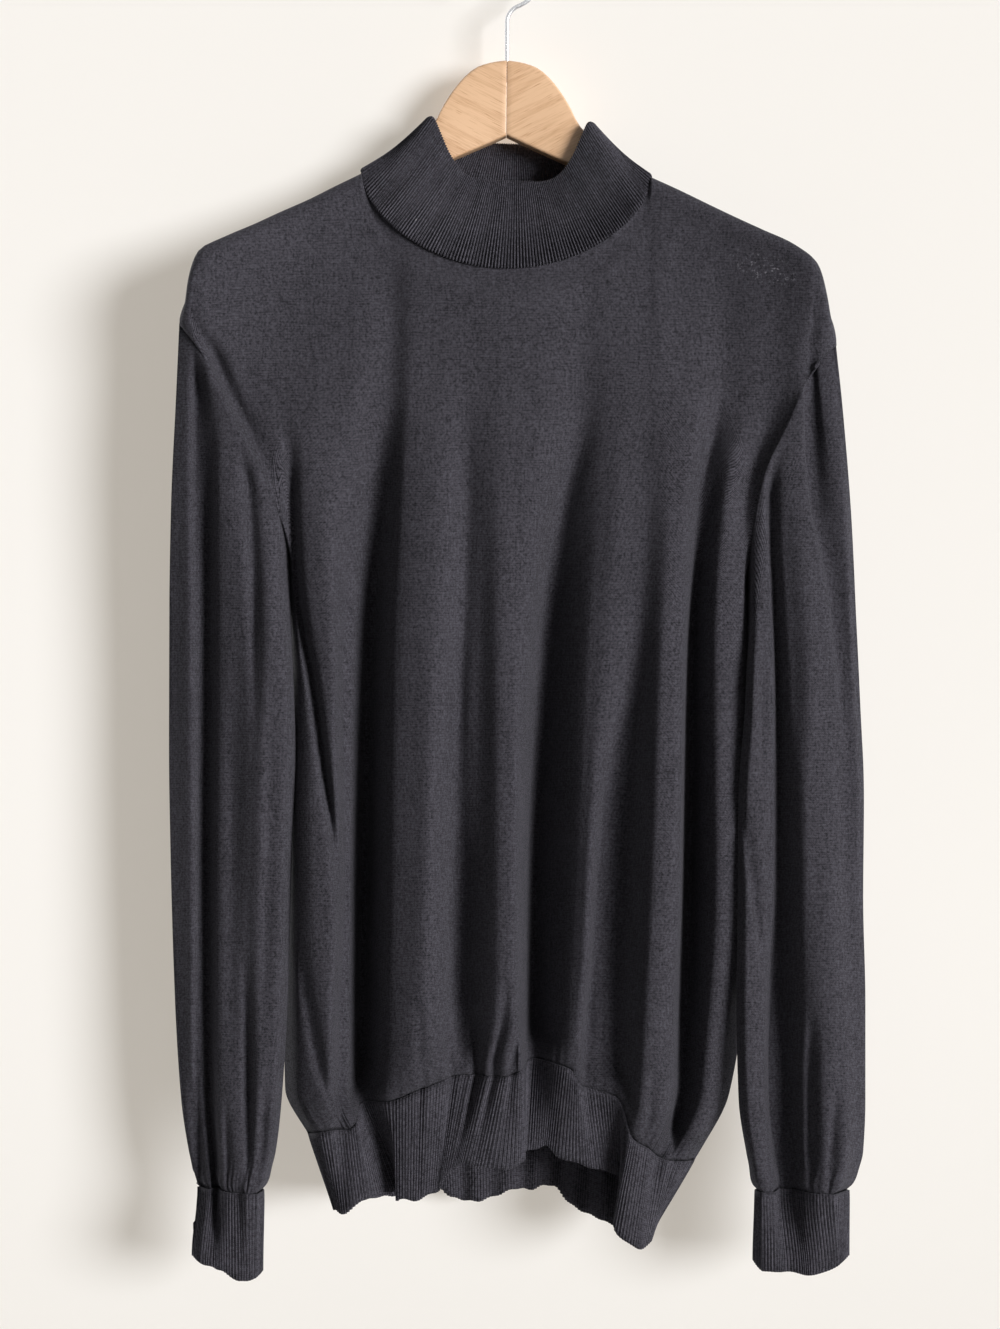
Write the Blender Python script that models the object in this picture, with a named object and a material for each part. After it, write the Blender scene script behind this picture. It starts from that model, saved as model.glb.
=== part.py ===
"""A mock neck sweater in fine knit, hanging on a wooden hanger with a wire hook.

The origin is the inside top of the hook's bend, where it sits on a rail. +Z is up and the
sweater's front faces -Y. Left and right are the viewer's. Tables are in millimetres, and a
drop is a distance below the top of the wood.
"""
import math

import bpy
from mathutils import Vector

MM = 0.001

# Hook: one wire, straight out of the wood, then a question mark bend.
WIRE_DIAMETER = 3.0
SHANK_LENGTH = 27.0
LOOP_RADIUS = 22.0
TURN_RADIUS = 12.0
LOOP_END = 198.0
HOOK_DEPTH = 14.0
HOOK_RISE = math.sqrt(LOOP_RADIUS**2 + 2 * LOOP_RADIUS * TURN_RADIUS)
WOOD_TOP = WIRE_DIAMETER / 2 - LOOP_RADIUS - HOOK_RISE - SHANK_LENGTH

# Hanger arms.
ARM_REACH = 203.0
ARM_FORWARD = 46.0
ARM_THICKNESS = 14.0
ARM_ROUNDING = 5.0
ARM_END_TAPER = 7.0
CORNER_STEPS = 4
MITRE_GAP = 0.3
HOOK_CLEARANCE = 0.3
HANGER_TILT = math.radians(0.6)

# Cloth.
KNIT_THICKNESS = 1.5
RIB_THICKNESS = 2.0
COLLAR_THICKNESS = 3.0
RIB_PROUD = 0.25
SEAM_GAP = 0.34
SHOULDER_HALF_WIDTH = 11.5
SHOULDER_ROUNDING = 12.0
SHOULDER_FADE_COLUMNS = 3
CHEST_BLEND = 95.0
FOLD_START = 250.0
# Shares of a sleeve's length over which it leaves the armhole's outline and depth.
SLEEVE_SPREAD = 0.35
SLEEVE_DEEPEN = 0.22
SHARP_EDGE = math.radians(40)
NECK_FRONT_DIP = 67.0
NECK_BACK_DIP = 26.0
NECK_FRONT_REACH = -29.5
NECK_BACK_REACH = 22.0
NECK_ROUNDNESS = 1.25
# The collar's upper edge: x and drop of its two ends, how far it dips and how far it opens.
COLLAR_TIPS = ((-53.0, 40.5), (58.0, 44.5))
COLLAR_FRONT_DIP = 42.0
COLLAR_BACK_DIP = 11.5
COLLAR_FRONT_OPENING = -11.0
COLLAR_FRONT_BOW = -4.0
COLLAR_BACK_OPENING = 12.0
COLLAR_BACK_BOW = 1.0
COLLAR_SAG = 2.8
COLLAR_PROUD = 2.2

# Columns across a body panel: sleeve head, shoulder, neck, shoulder, sleeve head.
COLUMNS = 38
NECK_FIRST = 9
NECK_LAST = 29
NECK_COLUMNS = NECK_LAST - NECK_FIRST
# Rows up a body panel, as shares of its height. The underarm is at UNDERARM.
UNDERARM = 0.71
LOWER_ROWS = (0.0, 0.065, 0.145, 0.235, 0.33, 0.43, 0.53, 0.625)
ARMHOLE_ROWS = (UNDERARM, 0.752, 0.794, 0.836, 0.875, 0.91, 0.942, 0.972, 0.992, 1.0)
SLEEVE_ROWS = (
    (0.0, 0.04, 0.09, 0.15, 0.22, 0.3, 0.39, 0.48)
    + (0.57, 0.66, 0.75, 0.84, 0.92, 0.97, 1.0)
)
RIB_ROWS = (0.0, 0.5, 1.0)
COLLAR_ROWS = (0.0, 0.25, 0.5, 0.75, 1.0)

# Arm outline: distance out, drop of the upper edge, drop of the lower edge.
ARM = (
    (0.0, 0.0, 51.5),
    (8.0, 1.0, 55.2),
    (20.0, 4.6, 60.7),
    (29.0, 11.7, 64.8),
    (36.5, 20.8, 68.2),
    (43.0, 31.0, 71.2),
    (50.0, 44.6, 74.5),
    (60.0, 54.0, 79.5),
    (70.0, 62.8, 84.5),
    (80.0, 71.0, 89.5),
    (90.0, 80.8, 96.0),
    (100.0, 89.2, 103.0),
    (121.0, 99.4, 114.0),
    (148.0, 112.0, 127.5),
    (170.0, 122.8, 139.0),
    (185.0, 130.2, 146.5),
    (196.0, 138.5, 152.0),
    (ARM_REACH, 146.5, 154.5),
)

# Sleeve head and shoulder outline on each side: column, x, drop.
SHOULDER_LEFT = (
    (0.0, -220.0, 186.0),
    (1.0, -216.0, 171.0),
    (2.0, -213.5, 154.0),
    (3.0, -207.5, 137.0),
    (4.0, -190.0, 126.0),
    (5.0, -171.0, 116.5),
    (6.0, -153.0, 107.0),
    (7.0, -135.0, 98.0),
    (8.0, -117.0, 88.0),
    (9.0, -99.0, 78.5),
)
SHOULDER_RIGHT = (
    (38.0, 221.0, 200.0),
    (37.0, 217.0, 181.0),
    (36.0, 214.0, 164.0),
    (35.0, 209.0, 146.5),
    (34.0, 192.5, 131.0),
    (33.0, 173.0, 120.5),
    (32.0, 154.0, 110.5),
    (31.0, 135.5, 100.5),
    (30.0, 117.0, 90.5),
    (29.0, 98.0, 81.0),
)

# Panel sides, armhole above the underarm: drop, x, middle y, half the armhole's opening.
SIDE_LEFT = (
    (186.0, -220.0, -47.0, 0.0),
    (200.0, -208.0, -46.5, 8.5),
    (216.0, -198.0, -45.0, 13.5),
    (249.0, -183.0, -42.0, 16.0),
    (283.0, -165.0, -39.0, 14.5),
    (310.0, -154.0, -35.0, 10.0),
    (344.0, -145.0, -31.0, 0.0),
    (400.0, -143.0, -27.0, 0.0),
    (560.0, -148.0, -28.0, 0.0),
    (640.0, -149.0, -30.0, 0.0),
    (700.0, -148.0, -33.0, 0.0),
    (731.0, -134.0, -36.0, 0.0),
)
SIDE_RIGHT = (
    (200.0, 221.0, -47.0, 0.0),
    (211.0, 209.0, -46.5, 8.5),
    (227.0, 199.0, -45.0, 13.5),
    (253.0, 187.0, -42.0, 16.0),
    (289.0, 171.0, -39.0, 14.5),
    (320.0, 165.0, -35.0, 10.0),
    (359.0, 162.0, -31.0, 0.0),
    (430.0, 164.0, -28.0, 0.0),
    (560.0, 161.0, -28.0, 0.0),
    (640.0, 154.0, -30.0, 0.0),
    (704.0, 144.0, -33.0, 0.0),
    (749.0, 126.0, -36.0, 0.0),
)

# Folds run down the panels as ridges and valleys. LEVELS are the drops at which x and y are given.
LEVELS = (235.0, 310.0, 400.0, 560.0, 700.0)
# Front folds: column, x at each level, y at each level, drop of the hem seam.
FRONT_FOLDS = (
    (2.0, (-172.0, -149.0, -138.0, -138.0, -139.0), (-57.0, -53.0, -50.0, -56.0, -52.0), 728.0),
    (4.0, (-152.0, -140.0, -129.0, -126.0, -126.0), (-56.0, -43.0, -37.0, -62.0, -52.0), 722.0),
    (6.0, (-130.0, -121.0, -114.0, -116.0, -117.0), (-56.0, -59.0, -64.0, -72.0, -66.0), 716.0),
    (8.0, (-104.0, -102.0, -101.0, -103.0, -105.0), (-55.0, -55.0, -58.0, -66.0, -62.0), 710.0),
    (10.0, (-79.0, -85.0, -90.0, -95.0, -98.0), (-48.0, -35.0, -26.0, -22.0, -28.0), 706.0),
    (12.0, (-64.0, -69.0, -74.0, -79.0, -83.0), (-52.0, -48.0, -46.0, -46.0, -50.0), 707.0),
    (14.0, (-47.0, -48.0, -50.0, -52.0, -56.0), (-55.0, -60.0, -66.0, -70.0, -66.0), 705.0),
    (16.0, (-25.0, -23.0, -22.0, -25.0, -29.0), (-54.0, -55.0, -57.0, -56.0, -48.0), 692.0),
    (18.0, (-2.0, -1.0, 0.0, 2.0, 1.0), (-56.0, -62.0, -68.0, -72.0, -66.0), 692.0),
    (20.0, (20.0, 19.0, 18.0, 14.0, 12.0), (-56.0, -61.0, -66.0, -70.0, -66.0), 689.0),
    (22.0, (54.0, 49.0, 42.0, 34.0, 26.0), (-49.0, -39.0, -31.0, -28.0, -34.0), 684.0),
    (24.0, (68.0, 63.0, 56.0, 48.0, 40.0), (-53.0, -50.0, -48.0, -46.0, -48.0), 688.0),
    (26.0, (80.0, 75.0, 69.0, 61.0, 55.0), (-55.0, -58.0, -62.0, -66.0, -62.0), 698.0),
    (28.0, (94.0, 92.0, 89.0, 82.0, 76.0), (-55.0, -54.0, -53.0, -50.0, -50.0), 712.0),
    (30.0, (112.0, 109.0, 104.0, 98.0, 91.0), (-56.0, -62.0, -68.0, -72.0, -66.0), 728.0),
    (32.0, (130.0, 125.0, 118.0, 114.0, 107.0), (-55.0, -58.0, -62.0, -66.0, -60.0), 736.0),
    (34.0, (147.0, 138.0, 130.0, 127.0, 121.0), (-50.0, -39.0, -30.0, -30.0, -38.0), 742.0),
    (36.0, (170.0, 155.0, 149.0, 147.0, 136.0), (-56.0, -54.0, -54.0, -56.0, -48.0), 747.0),
)
# Back folds, the same columns.
BACK_FOLDS = (
    (4.0, (-150.0, -132.0, -122.0, -121.0, -122.0), (-18.0, -4.0, 6.0, 10.0, 2.0), 733.0),
    (8.0, (-105.0, -95.0, -88.0, -86.0, -88.0), (-4.0, -5.0, -6.0, -7.0, -4.0), 729.0),
    (13.0, (-54.0, -50.0, -46.0, -45.0, -45.0), (9.0, 12.0, 16.0, 19.0, 13.0), 727.0),
    (18.0, (-4.0, -6.0, -8.0, -9.0, -9.0), (12.0, 9.0, 4.0, -3.0, -2.0), 723.0),
    (23.0, (44.0, 38.0, 34.0, 32.0, 30.0), (10.0, 14.0, 17.0, 18.0, 13.0), 719.0),
    (28.0, (92.0, 82.0, 75.0, 72.0, 66.0), (0.0, -3.0, -5.0, -7.0, -3.0), 733.0),
    (34.0, (147.0, 135.0, 124.0, 119.0, 108.0), (-16.0, -2.0, 8.0, 10.0, 4.0), 746.0),
)
# Lower edge of the hem ribs: column, x, drop, y.
FRONT_RIB = (
    (0.0, -117.0, 780.0, -36.0),
    (2.0, -113.0, 785.0, -46.0),
    (4.0, -106.0, 787.0, -52.0),
    (6.0, -99.0, 782.0, -57.0),
    (8.0, -91.0, 775.0, -57.0),
    (10.0, -84.0, 771.0, -44.0),
    (12.0, -75.0, 770.0, -48.0),
    (14.0, -60.0, 772.0, -60.0),
    (16.0, -43.0, 760.0, -56.0),
    (18.0, -20.0, 750.0, -60.0),
    (20.0, 7.0, 751.0, -60.0),
    (22.0, 22.0, 743.0, -42.0),
    (24.0, 39.0, 752.0, -46.0),
    (26.0, 55.0, 757.0, -52.0),
    (28.0, 66.0, 772.0, -52.0),
    (30.0, 74.0, 797.0, -58.0),
    (32.0, 82.0, 809.0, -58.0),
    (34.0, 88.0, 811.0, -50.0),
    (36.0, 92.0, 809.0, -43.0),
    (38.0, 94.0, 804.0, -36.0),
)
BACK_RIB = (
    (0.0, -117.0, 780.0, -36.0),
    (4.0, -98.0, 779.0, -14.0),
    (8.0, -72.0, 776.0, -6.0),
    (13.0, -37.0, 785.0, 6.0),
    (18.0, -8.0, 782.0, -2.0),
    (23.0, 27.0, 776.0, 7.0),
    (28.0, 58.0, 792.0, -3.0),
    (34.0, 80.0, 801.0, -14.0),
    (38.0, 94.0, 804.0, -36.0),
)

# Sleeves: drop, x of the outer edge, x of the inner edge.
SLEEVE_LEFT_EDGES = (
    (186.0, -220.0, -141.0),
    (240.0, -222.5, -141.0),
    (310.0, -226.0, -141.0),
    (375.0, -227.5, -140.0),
    (470.0, -228.0, -141.0),
    (540.0, -227.0, -144.0),
    (640.0, -224.0, -147.0),
    (705.0, -220.0, -151.0),
    (740.0, -215.0, -155.0),
    (766.0, -208.5, -163.0),
)
SLEEVE_RIGHT_EDGES = (
    (200.0, 221.0, 163.0),
    (240.0, 225.0, 163.0),
    (310.0, 230.5, 163.0),
    (375.0, 234.0, 162.5),
    (440.0, 237.0, 161.0),
    (505.0, 239.0, 157.0),
    (570.0, 238.5, 156.5),
    (640.0, 240.0, 158.0),
    (705.0, 240.0, 160.0),
    (740.0, 238.5, 160.0),
    (766.0, 229.0, 166.0),
)
# Sleeve folds: place round the sleeve, share of its width from the outer edge, and y at a drop
# of 260, 450 and 700. The front runs from 0 to 9 and the back from 9 to 18.
SLEEVE_LEVELS = (260.0, 450.0, 700.0)
SLEEVE_LEFT_FOLDS = (
    (0.0, 0.0, (-48.0, -50.0, -50.0)),
    (1.0, 0.12, (-60.0, -66.0, -63.0)),
    (2.0, 0.24, (-62.0, -66.0, -64.0)),
    (3.0, 0.32, (-50.0, -46.0, -48.0)),
    (4.0, 0.44, (-62.0, -68.0, -66.0)),
    (5.0, 0.56, (-61.0, -68.0, -66.0)),
    (6.0, 0.66, (-57.0, -64.0, -62.0)),
    (7.0, 0.78, (-60.0, -69.0, -66.0)),
    (8.0, 0.92, (-57.0, -64.0, -60.0)),
    (9.0, 1.0, (-44.0, -52.0, -50.0)),
    (10.0, 0.92, (-34.0, -39.0, -40.0)),
    (12.0, 0.7, (-30.0, -35.0, -36.0)),
    (14.0, 0.45, (-34.0, -40.0, -40.0)),
    (16.0, 0.2, (-32.0, -35.0, -36.0)),
    (17.0, 0.08, (-38.0, -38.0, -40.0)),
    (18.0, 0.0, (-48.0, -50.0, -50.0)),
)
SLEEVE_RIGHT_FOLDS = (
    (0.0, 0.0, (-48.0, -50.0, -50.0)),
    (1.0, 0.1, (-60.0, -65.0, -62.0)),
    (2.0, 0.26, (-60.0, -69.0, -66.0)),
    (3.0, 0.4, (-56.0, -68.0, -64.0)),
    (4.0, 0.54, (-60.0, -66.0, -62.0)),
    (5.0, 0.64, (-58.0, -58.0, -54.0)),
    (6.0, 0.72, (-50.0, -46.0, -48.0)),
    (7.0, 0.82, (-58.0, -64.0, -60.0)),
    (8.0, 0.93, (-56.0, -64.0, -60.0)),
    (9.0, 1.0, (-44.0, -52.0, -50.0)),
    (10.0, 0.92, (-34.0, -39.0, -40.0)),
    (12.0, 0.7, (-30.0, -35.0, -36.0)),
    (14.0, 0.45, (-34.0, -40.0, -40.0)),
    (16.0, 0.2, (-32.0, -35.0, -36.0)),
    (17.0, 0.08, (-38.0, -38.0, -40.0)),
    (18.0, 0.0, (-48.0, -50.0, -50.0)),
)
SLEEVE_AROUND = 18
CUFF_DROP = 766.0
# Lower edges of the cuffs: place round the cuff, x, y, drop.
CUFF_LEFT = (
    (0.0, -211.0, -48.0, 810.0),
    (2.0, -203.0, -59.0, 814.0),
    (4.0, -190.0, -60.0, 818.0),
    (6.0, -178.0, -60.0, 825.0),
    (8.0, -168.0, -57.0, 824.0),
    (9.0, -164.0, -48.0, 820.0),
    (11.0, -170.0, -40.0, 823.0),
    (14.0, -189.0, -38.0, 818.0),
    (17.0, -208.0, -42.0, 811.0),
    (18.0, -211.0, -48.0, 810.0),
)
CUFF_RIGHT = (
    (0.0, 229.0, -48.0, 810.0),
    (2.0, 220.0, -59.0, 815.0),
    (4.0, 203.0, -61.0, 821.0),
    (6.0, 187.0, -58.0, 819.0),
    (7.0, 179.0, -60.0, 819.0),
    (8.0, 171.0, -58.0, 819.0),
    (9.0, 165.0, -48.0, 813.0),
    (11.0, 173.0, -40.0, 818.0),
    (14.0, 198.0, -38.0, 820.0),
    (17.0, 225.0, -42.0, 812.0),
    (18.0, 229.0, -48.0, 810.0),
)


def smooth(value):
    value = min(max(value, 0.0), 1.0)
    return value * value * (3 - 2 * value)


def mix(first, second, share):
    return first + (second - first) * share


def through(stations, at):
    """A smooth curve through (place, value) stations that never overshoots them."""
    stations = sorted(stations)
    if at <= stations[0][0]:
        return stations[0][1]
    if at >= stations[-1][0]:
        return stations[-1][1]
    places = [place for place, _ in stations]
    values = [value for _, value in stations]
    slopes = [
        (values[i + 1] - values[i]) / (places[i + 1] - places[i])
        for i in range(len(stations) - 1)
    ]
    index = max(i for i in range(len(slopes)) if places[i] <= at)

    def tangent(i):
        if i == 0:
            return slopes[0]
        if i == len(slopes):
            return slopes[-1]
        if slopes[i - 1] * slopes[i] <= 0:
            return 0.0
        return 2 * slopes[i - 1] * slopes[i] / (slopes[i - 1] + slopes[i])

    span = places[index + 1] - places[index]
    t = (at - places[index]) / span
    start = values[index] * (1 + 2 * t) * (1 - t) ** 2
    end = values[index + 1] * t * t * (3 - 2 * t)
    bend = tangent(index) * t * (1 - t) ** 2 - tangent(index + 1) * t * t * (1 - t)
    return start + end + bend * span


def column_of(table, place, column):
    """One named column of a table, read at a place between its rows."""
    return through([(row[0], row[column]) for row in table], place)


def place(x, y, drop):
    return Vector((x, y, WOOD_TOP - drop))


def arm_y(x):
    return -ARM_FORWARD * min(abs(x) / ARM_REACH, 1.0) ** 2


def neck_edge(column, back):
    """Where the collar is sewn to a panel, as x, y and drop."""
    turn = (column - NECK_FIRST) / (NECK_LAST - NECK_FIRST)
    across = -math.cos(math.pi * turn)
    round_side = math.sin(math.pi * turn)
    left, right = SHOULDER_LEFT[-1], SHOULDER_RIGHT[-1]
    x = mix(left[1], right[1], (1 + across) / 2)
    dip = NECK_BACK_DIP if back else NECK_FRONT_DIP
    reach = NECK_BACK_REACH if back else NECK_FRONT_REACH
    drop = mix(left[2], right[2], (1 + across) / 2) + dip * round_side**NECK_ROUNDNESS
    return x, arm_y(left[1]) + reach * math.sqrt(max(round_side, 0.0)), drop


def top_edge(column, back):
    """The upper edge of a body panel, as x, y and drop."""
    if NECK_FIRST <= column <= NECK_LAST:
        return neck_edge(column, back)
    table = SHOULDER_LEFT if column < NECK_FIRST else SHOULDER_RIGHT
    x = column_of(table, column, 1)
    return x, arm_y(x), column_of(table, column, 2)


def side_edge(table, back, drop):
    """x and y of one side of a panel at a drop."""
    half = column_of(table, drop, 3)
    return column_of(table, drop, 1), column_of(table, drop, 2) + (half if back else -half)


def hem_drop(column, back):
    folds = BACK_FOLDS if back else FRONT_FOLDS
    stations = [(row[0], row[3]) for row in folds]
    stations += [(0.0, SIDE_LEFT[-1][0]), (COLUMNS, SIDE_RIGHT[-1][0])]
    return through(stations, column)


def fold_section(back, column, drop):
    """x and y of the folded cloth at one column and one drop, below the chest."""
    folds = BACK_FOLDS if back else FRONT_FOLDS
    left, right = side_edge(SIDE_LEFT, back, drop), side_edge(SIDE_RIGHT, back, drop)
    low_left = column_of(SIDE_LEFT, LEVELS[-1], 1)
    low_right = column_of(SIDE_RIGHT, LEVELS[-1], 1)
    across = [(0.0, left[0]), (COLUMNS, right[0])]
    depth = [(0.0, left[1]), (COLUMNS, right[1])]
    for row in folds:
        x = through(zip(LEVELS, row[1]), drop)
        if drop > LEVELS[-1]:
            share = (x - low_left) / (low_right - low_left)
            x = mix(left[0], right[0], share)
        across.append((row[0], x))
        depth.append((row[0], through(zip(LEVELS, row[2]), drop)))
    return through(across, column), through(depth, column)


def panel_point(back, column, height):
    """A point on a body panel's outer face: height is 0 at the hem and 1 at the upper edge."""
    top_x, top_y, top_drop = top_edge(column, back)
    drop = mix(hem_drop(column, back), top_drop, height)
    below = max(drop - top_drop, 0.0)
    if column in (0, COLUMNS):
        x, y = fold_section(back, column, drop)
        return place(x, y, drop)
    x, y = fold_section(back, column, max(drop, LEVELS[0]))
    x = mix(top_x, x, smooth(below / (FOLD_START - top_drop)))
    edge = min(column, COLUMNS - column)
    past_neck = max(edge - NECK_FIRST, 0) / SHOULDER_FADE_COLUMNS
    on_shoulder = max(1 - past_neck, 0.0) ** 2
    turn = min(below / SHOULDER_ROUNDING, 1.0)
    bulge = SHOULDER_HALF_WIDTH * math.sqrt(1 - (1 - turn) ** 2) * on_shoulder
    upper = top_y + (bulge if back else -bulge)
    return place(x, mix(upper, y, smooth(below / CHEST_BLEND)), drop)


def rib_point(back, column, fall):
    """A point on a hem rib: fall is 0 at the seam and 1 at the lower edge."""
    table = BACK_RIB if back else FRONT_RIB
    x, drop, y = (column_of(table, column, i) for i in (1, 2, 3))
    seam, edge = panel_point(back, column, 0.0), place(x, y, drop)
    point = seam.lerp(edge, fall)
    point.y = mix(seam.y, edge.y, smooth(fall))
    return point


def collar_point(around, rise):
    """A point on the collar: around runs along the front and back again, rise is 1 at the top."""
    back = around > NECK_COLUMNS
    column = NECK_FIRST + (2 * NECK_COLUMNS - around if back else around)
    x, y, drop = neck_edge(column, back)
    turn = (column - NECK_FIRST) / NECK_COLUMNS
    across = (1 - math.cos(math.pi * turn)) / 2
    round_side = math.sin(math.pi * turn)
    top_x = mix(COLLAR_TIPS[0][0], COLLAR_TIPS[1][0], across)
    top_drop = mix(COLLAR_TIPS[0][1], COLLAR_TIPS[1][1], across)
    top_y = arm_y(top_x)
    if back:
        top_drop += COLLAR_BACK_DIP * smooth((round_side - 0.2) / 0.8)
        top_y += COLLAR_BACK_OPENING * smooth(round_side / 0.4) + COLLAR_BACK_BOW * round_side
    else:
        top_drop += COLLAR_FRONT_DIP * smooth((round_side - 0.3) / 0.65)
        top_y += COLLAR_FRONT_OPENING * smooth(round_side / 0.4) + COLLAR_FRONT_BOW * round_side
    sag = COLLAR_SAG * math.sin(math.pi * rise) * (1 - round_side)
    return place(mix(x, top_x, rise), mix(y, top_y, rise), mix(drop, top_drop, rise) + sag)


def sleeve_seam(right, around):
    """The armhole point where one sleeve column starts."""
    back = around > SLEEVE_AROUND / 2
    step = SLEEVE_AROUND - around if back else around
    height = through(list(enumerate(reversed(ARMHOLE_ROWS))), step)
    return panel_point(back, COLUMNS if right else 0, height)


def sleeve_point(right, around, fall):
    """A point on a sleeve: fall is 0 at the armhole and 1 at the cuff seam."""
    edges = SLEEVE_RIGHT_EDGES if right else SLEEVE_LEFT_EDGES
    folds = SLEEVE_RIGHT_FOLDS if right else SLEEVE_LEFT_FOLDS
    seam = sleeve_seam(right, around)
    seam_drop = WOOD_TOP - seam.z
    drop = mix(seam_drop, CUFF_DROP, fall)
    outer = column_of(edges, seam_drop, 1)
    inner = column_of(edges, seam_drop, 2)
    seam_share = (seam.x - outer) / (inner - outer)
    share = mix(seam_share, column_of(folds, around, 1), smooth(fall / SLEEVE_SPREAD))
    depths = [(row[0], through(zip(SLEEVE_LEVELS, row[2]), drop)) for row in folds]
    depth = through(depths, around)
    x = mix(column_of(edges, drop, 1), column_of(edges, drop, 2), share)
    return place(x, mix(seam.y, depth, smooth(fall / SLEEVE_DEEPEN)), drop)


def cuff_point(right, around, fall):
    """A point on a cuff: fall is 0 at its seam and 1 at its lower edge."""
    seam = sleeve_point(right, around, 1.0)
    table = CUFF_RIGHT if right else CUFF_LEFT
    edge = place(*(column_of(table, around, i) for i in (1, 2, 3)))
    point = seam.lerp(edge, smooth(fall))
    point.z = mix(seam.z, edge.z, fall)
    return point


def grid(point, rows, columns):
    return [[point(column, row) for column in columns] for row in rows]


def cloth_pieces():
    """Every cloth piece: name, outer grid, closed round, turned over, thickness, proud, seams."""
    panel_rows = LOWER_ROWS + ARMHOLE_ROWS
    panel_columns = range(COLUMNS + 1)
    neck = range(2 * NECK_COLUMNS)
    sleeve = range(SLEEVE_AROUND)
    all_seams = ("first", "last", "sides")
    pieces = []
    for word, back in (("front", False), ("back", True)):
        body = grid(lambda c, r: panel_point(back, c, r), panel_rows, panel_columns)
        name = word + "_panel"
        pieces.append((name, body, False, back, KNIT_THICKNESS, 0.0, all_seams))
        rib = grid(lambda c, r: rib_point(back, c, r), RIB_ROWS, panel_columns)
        name = word + "_hem_rib"
        pieces.append((name, rib, False, not back, RIB_THICKNESS, RIB_PROUD, ("first", "sides")))
    for word, right in (("left", False), ("right", True)):
        tube = grid(lambda c, r: sleeve_point(right, c, r), SLEEVE_ROWS, sleeve)
        name = "sleeve_" + word
        pieces.append((name, tube, True, not right, KNIT_THICKNESS, 0.0, ("first", "last")))
        cuff = grid(lambda c, r: cuff_point(right, c, r), RIB_ROWS, sleeve)
        name = "cuff_" + word
        pieces.append((name, cuff, True, not right, RIB_THICKNESS, RIB_PROUD, ("first",)))
    band = grid(collar_point, COLLAR_ROWS, neck)
    pieces.append(("collar", band, True, False, COLLAR_THICKNESS, COLLAR_PROUD, ("first",)))
    return pieces


def key(point):
    return tuple(round(value, 3) for value in point)


def grid_quads(rows, closed, turned):
    """Quads of a grid as (row, column) corners, facing out."""
    across = len(rows[0])
    for r in range(len(rows) - 1):
        for c in range(across if closed else across - 1):
            corners = [(r, c), (r, (c + 1) % across), (r + 1, (c + 1) % across), (r + 1, c)]
            yield corners[::-1] if turned else corners


def shared_normals(pieces):
    """Outward normals, averaged over all the pieces that meet at a point."""
    normals = {}
    for _, rows, closed, turned, _, _, _ in pieces:
        for quad in grid_quads(rows, closed, turned):
            a, b, c, d = (rows[r][k] for r, k in quad)
            facing = (c - a).cross(d - b)
            for corner in (a, b, c, d):
                normals[key(corner)] = normals.get(key(corner), Vector()) + facing
    for column in (0, COLUMNS):
        normals[key(panel_point(False, column, UNDERARM))] = Vector((0.0, 0.0, -1.0))
    return {where: normal.normalized() for where, normal in normals.items()}


def lowest_first(point):
    return round(point.z, 1), round(point.x, 1), round(point.y, 1)


def drawn_in(point, inside, along):
    """A seam point moved into its own piece by half the seam gap."""
    inward = inside - point
    along = along.normalized()
    square = (inward - along * inward.dot(along)).length
    return point + inward * (SEAM_GAP / 2 / max(square, 0.4 * inward.length))


def trimmed(rows, closed, seams):
    """The grid with its sewn edges drawn in."""
    result = [list(row) for row in rows]
    last = len(rows[0]) - 1
    for name, edge, inside in (("first", 0, 1), ("last", -1, -2)):
        if name not in seams:
            continue
        for c, point in enumerate(rows[edge]):
            before = rows[edge][c - 1] if closed or c > 0 else point
            after = rows[edge][(c + 1) % (last + 1)] if closed or c < last else point
            result[edge][c] = drawn_in(point, rows[inside][c], after - before)
    if "sides" not in seams:
        return result
    for edge, inside in ((0, 1), (last, last - 1)):
        for r in range(len(rows)):
            before, after = rows[max(r - 1, 0)][edge], rows[min(r + 1, len(rows) - 1)][edge]
            moved = drawn_in(rows[r][edge], rows[r][inside], after - before) - rows[r][edge]
            result[r][edge] = result[r][edge] + moved
    return result


def cloth_solid(piece, normals, material):
    """One cloth piece as a closed wall."""
    name, rows, closed, turned, thickness, proud, seams = piece
    outer = [[p + normals[key(p)] * proud for p in row] for row in rows]
    inner = [[p + normals[key(p)] * (proud - thickness) for p in row] for row in rows]
    outer, inner = trimmed(outer, closed, seams), trimmed(inner, closed, seams)
    across, height = len(rows[0]), len(rows)
    points = [p for row in outer for p in row] + [p for row in inner for p in row]
    wall = across * height

    def at(r, c):
        return r * across + c % across

    faces = []
    for quad in grid_quads(rows, closed, turned):
        faces.append([at(r, c) for r, c in quad])
        faces.append([at(r, c) + wall for r, c in reversed(quad)])
    rim = []
    for c in range(across if closed else across - 1):
        rim.append(((0, (c + 1) % across), (0, c)))
        rim.append(((height - 1, c), (height - 1, (c + 1) % across)))
    if not closed:
        for r in range(height - 1):
            rim.append(((r, 0), (r + 1, 0)))
            rim.append(((r + 1, across - 1), (r, across - 1)))
    for first, second in rim:
        a, b = at(*first), at(*second)
        # Both pieces at a seam split their edge along the same diagonal.
        if lowest_first(rows[first[0]][first[1]]) < lowest_first(rows[second[0]][second[1]]):
            halves = [[a, b, b + wall], [a, b + wall, a + wall]]
        else:
            halves = [[a, b, a + wall], [b, b + wall, a + wall]]
        faces += [half[::-1] if turned else half for half in halves]
    return add_mesh(name, points, faces, material)


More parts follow.
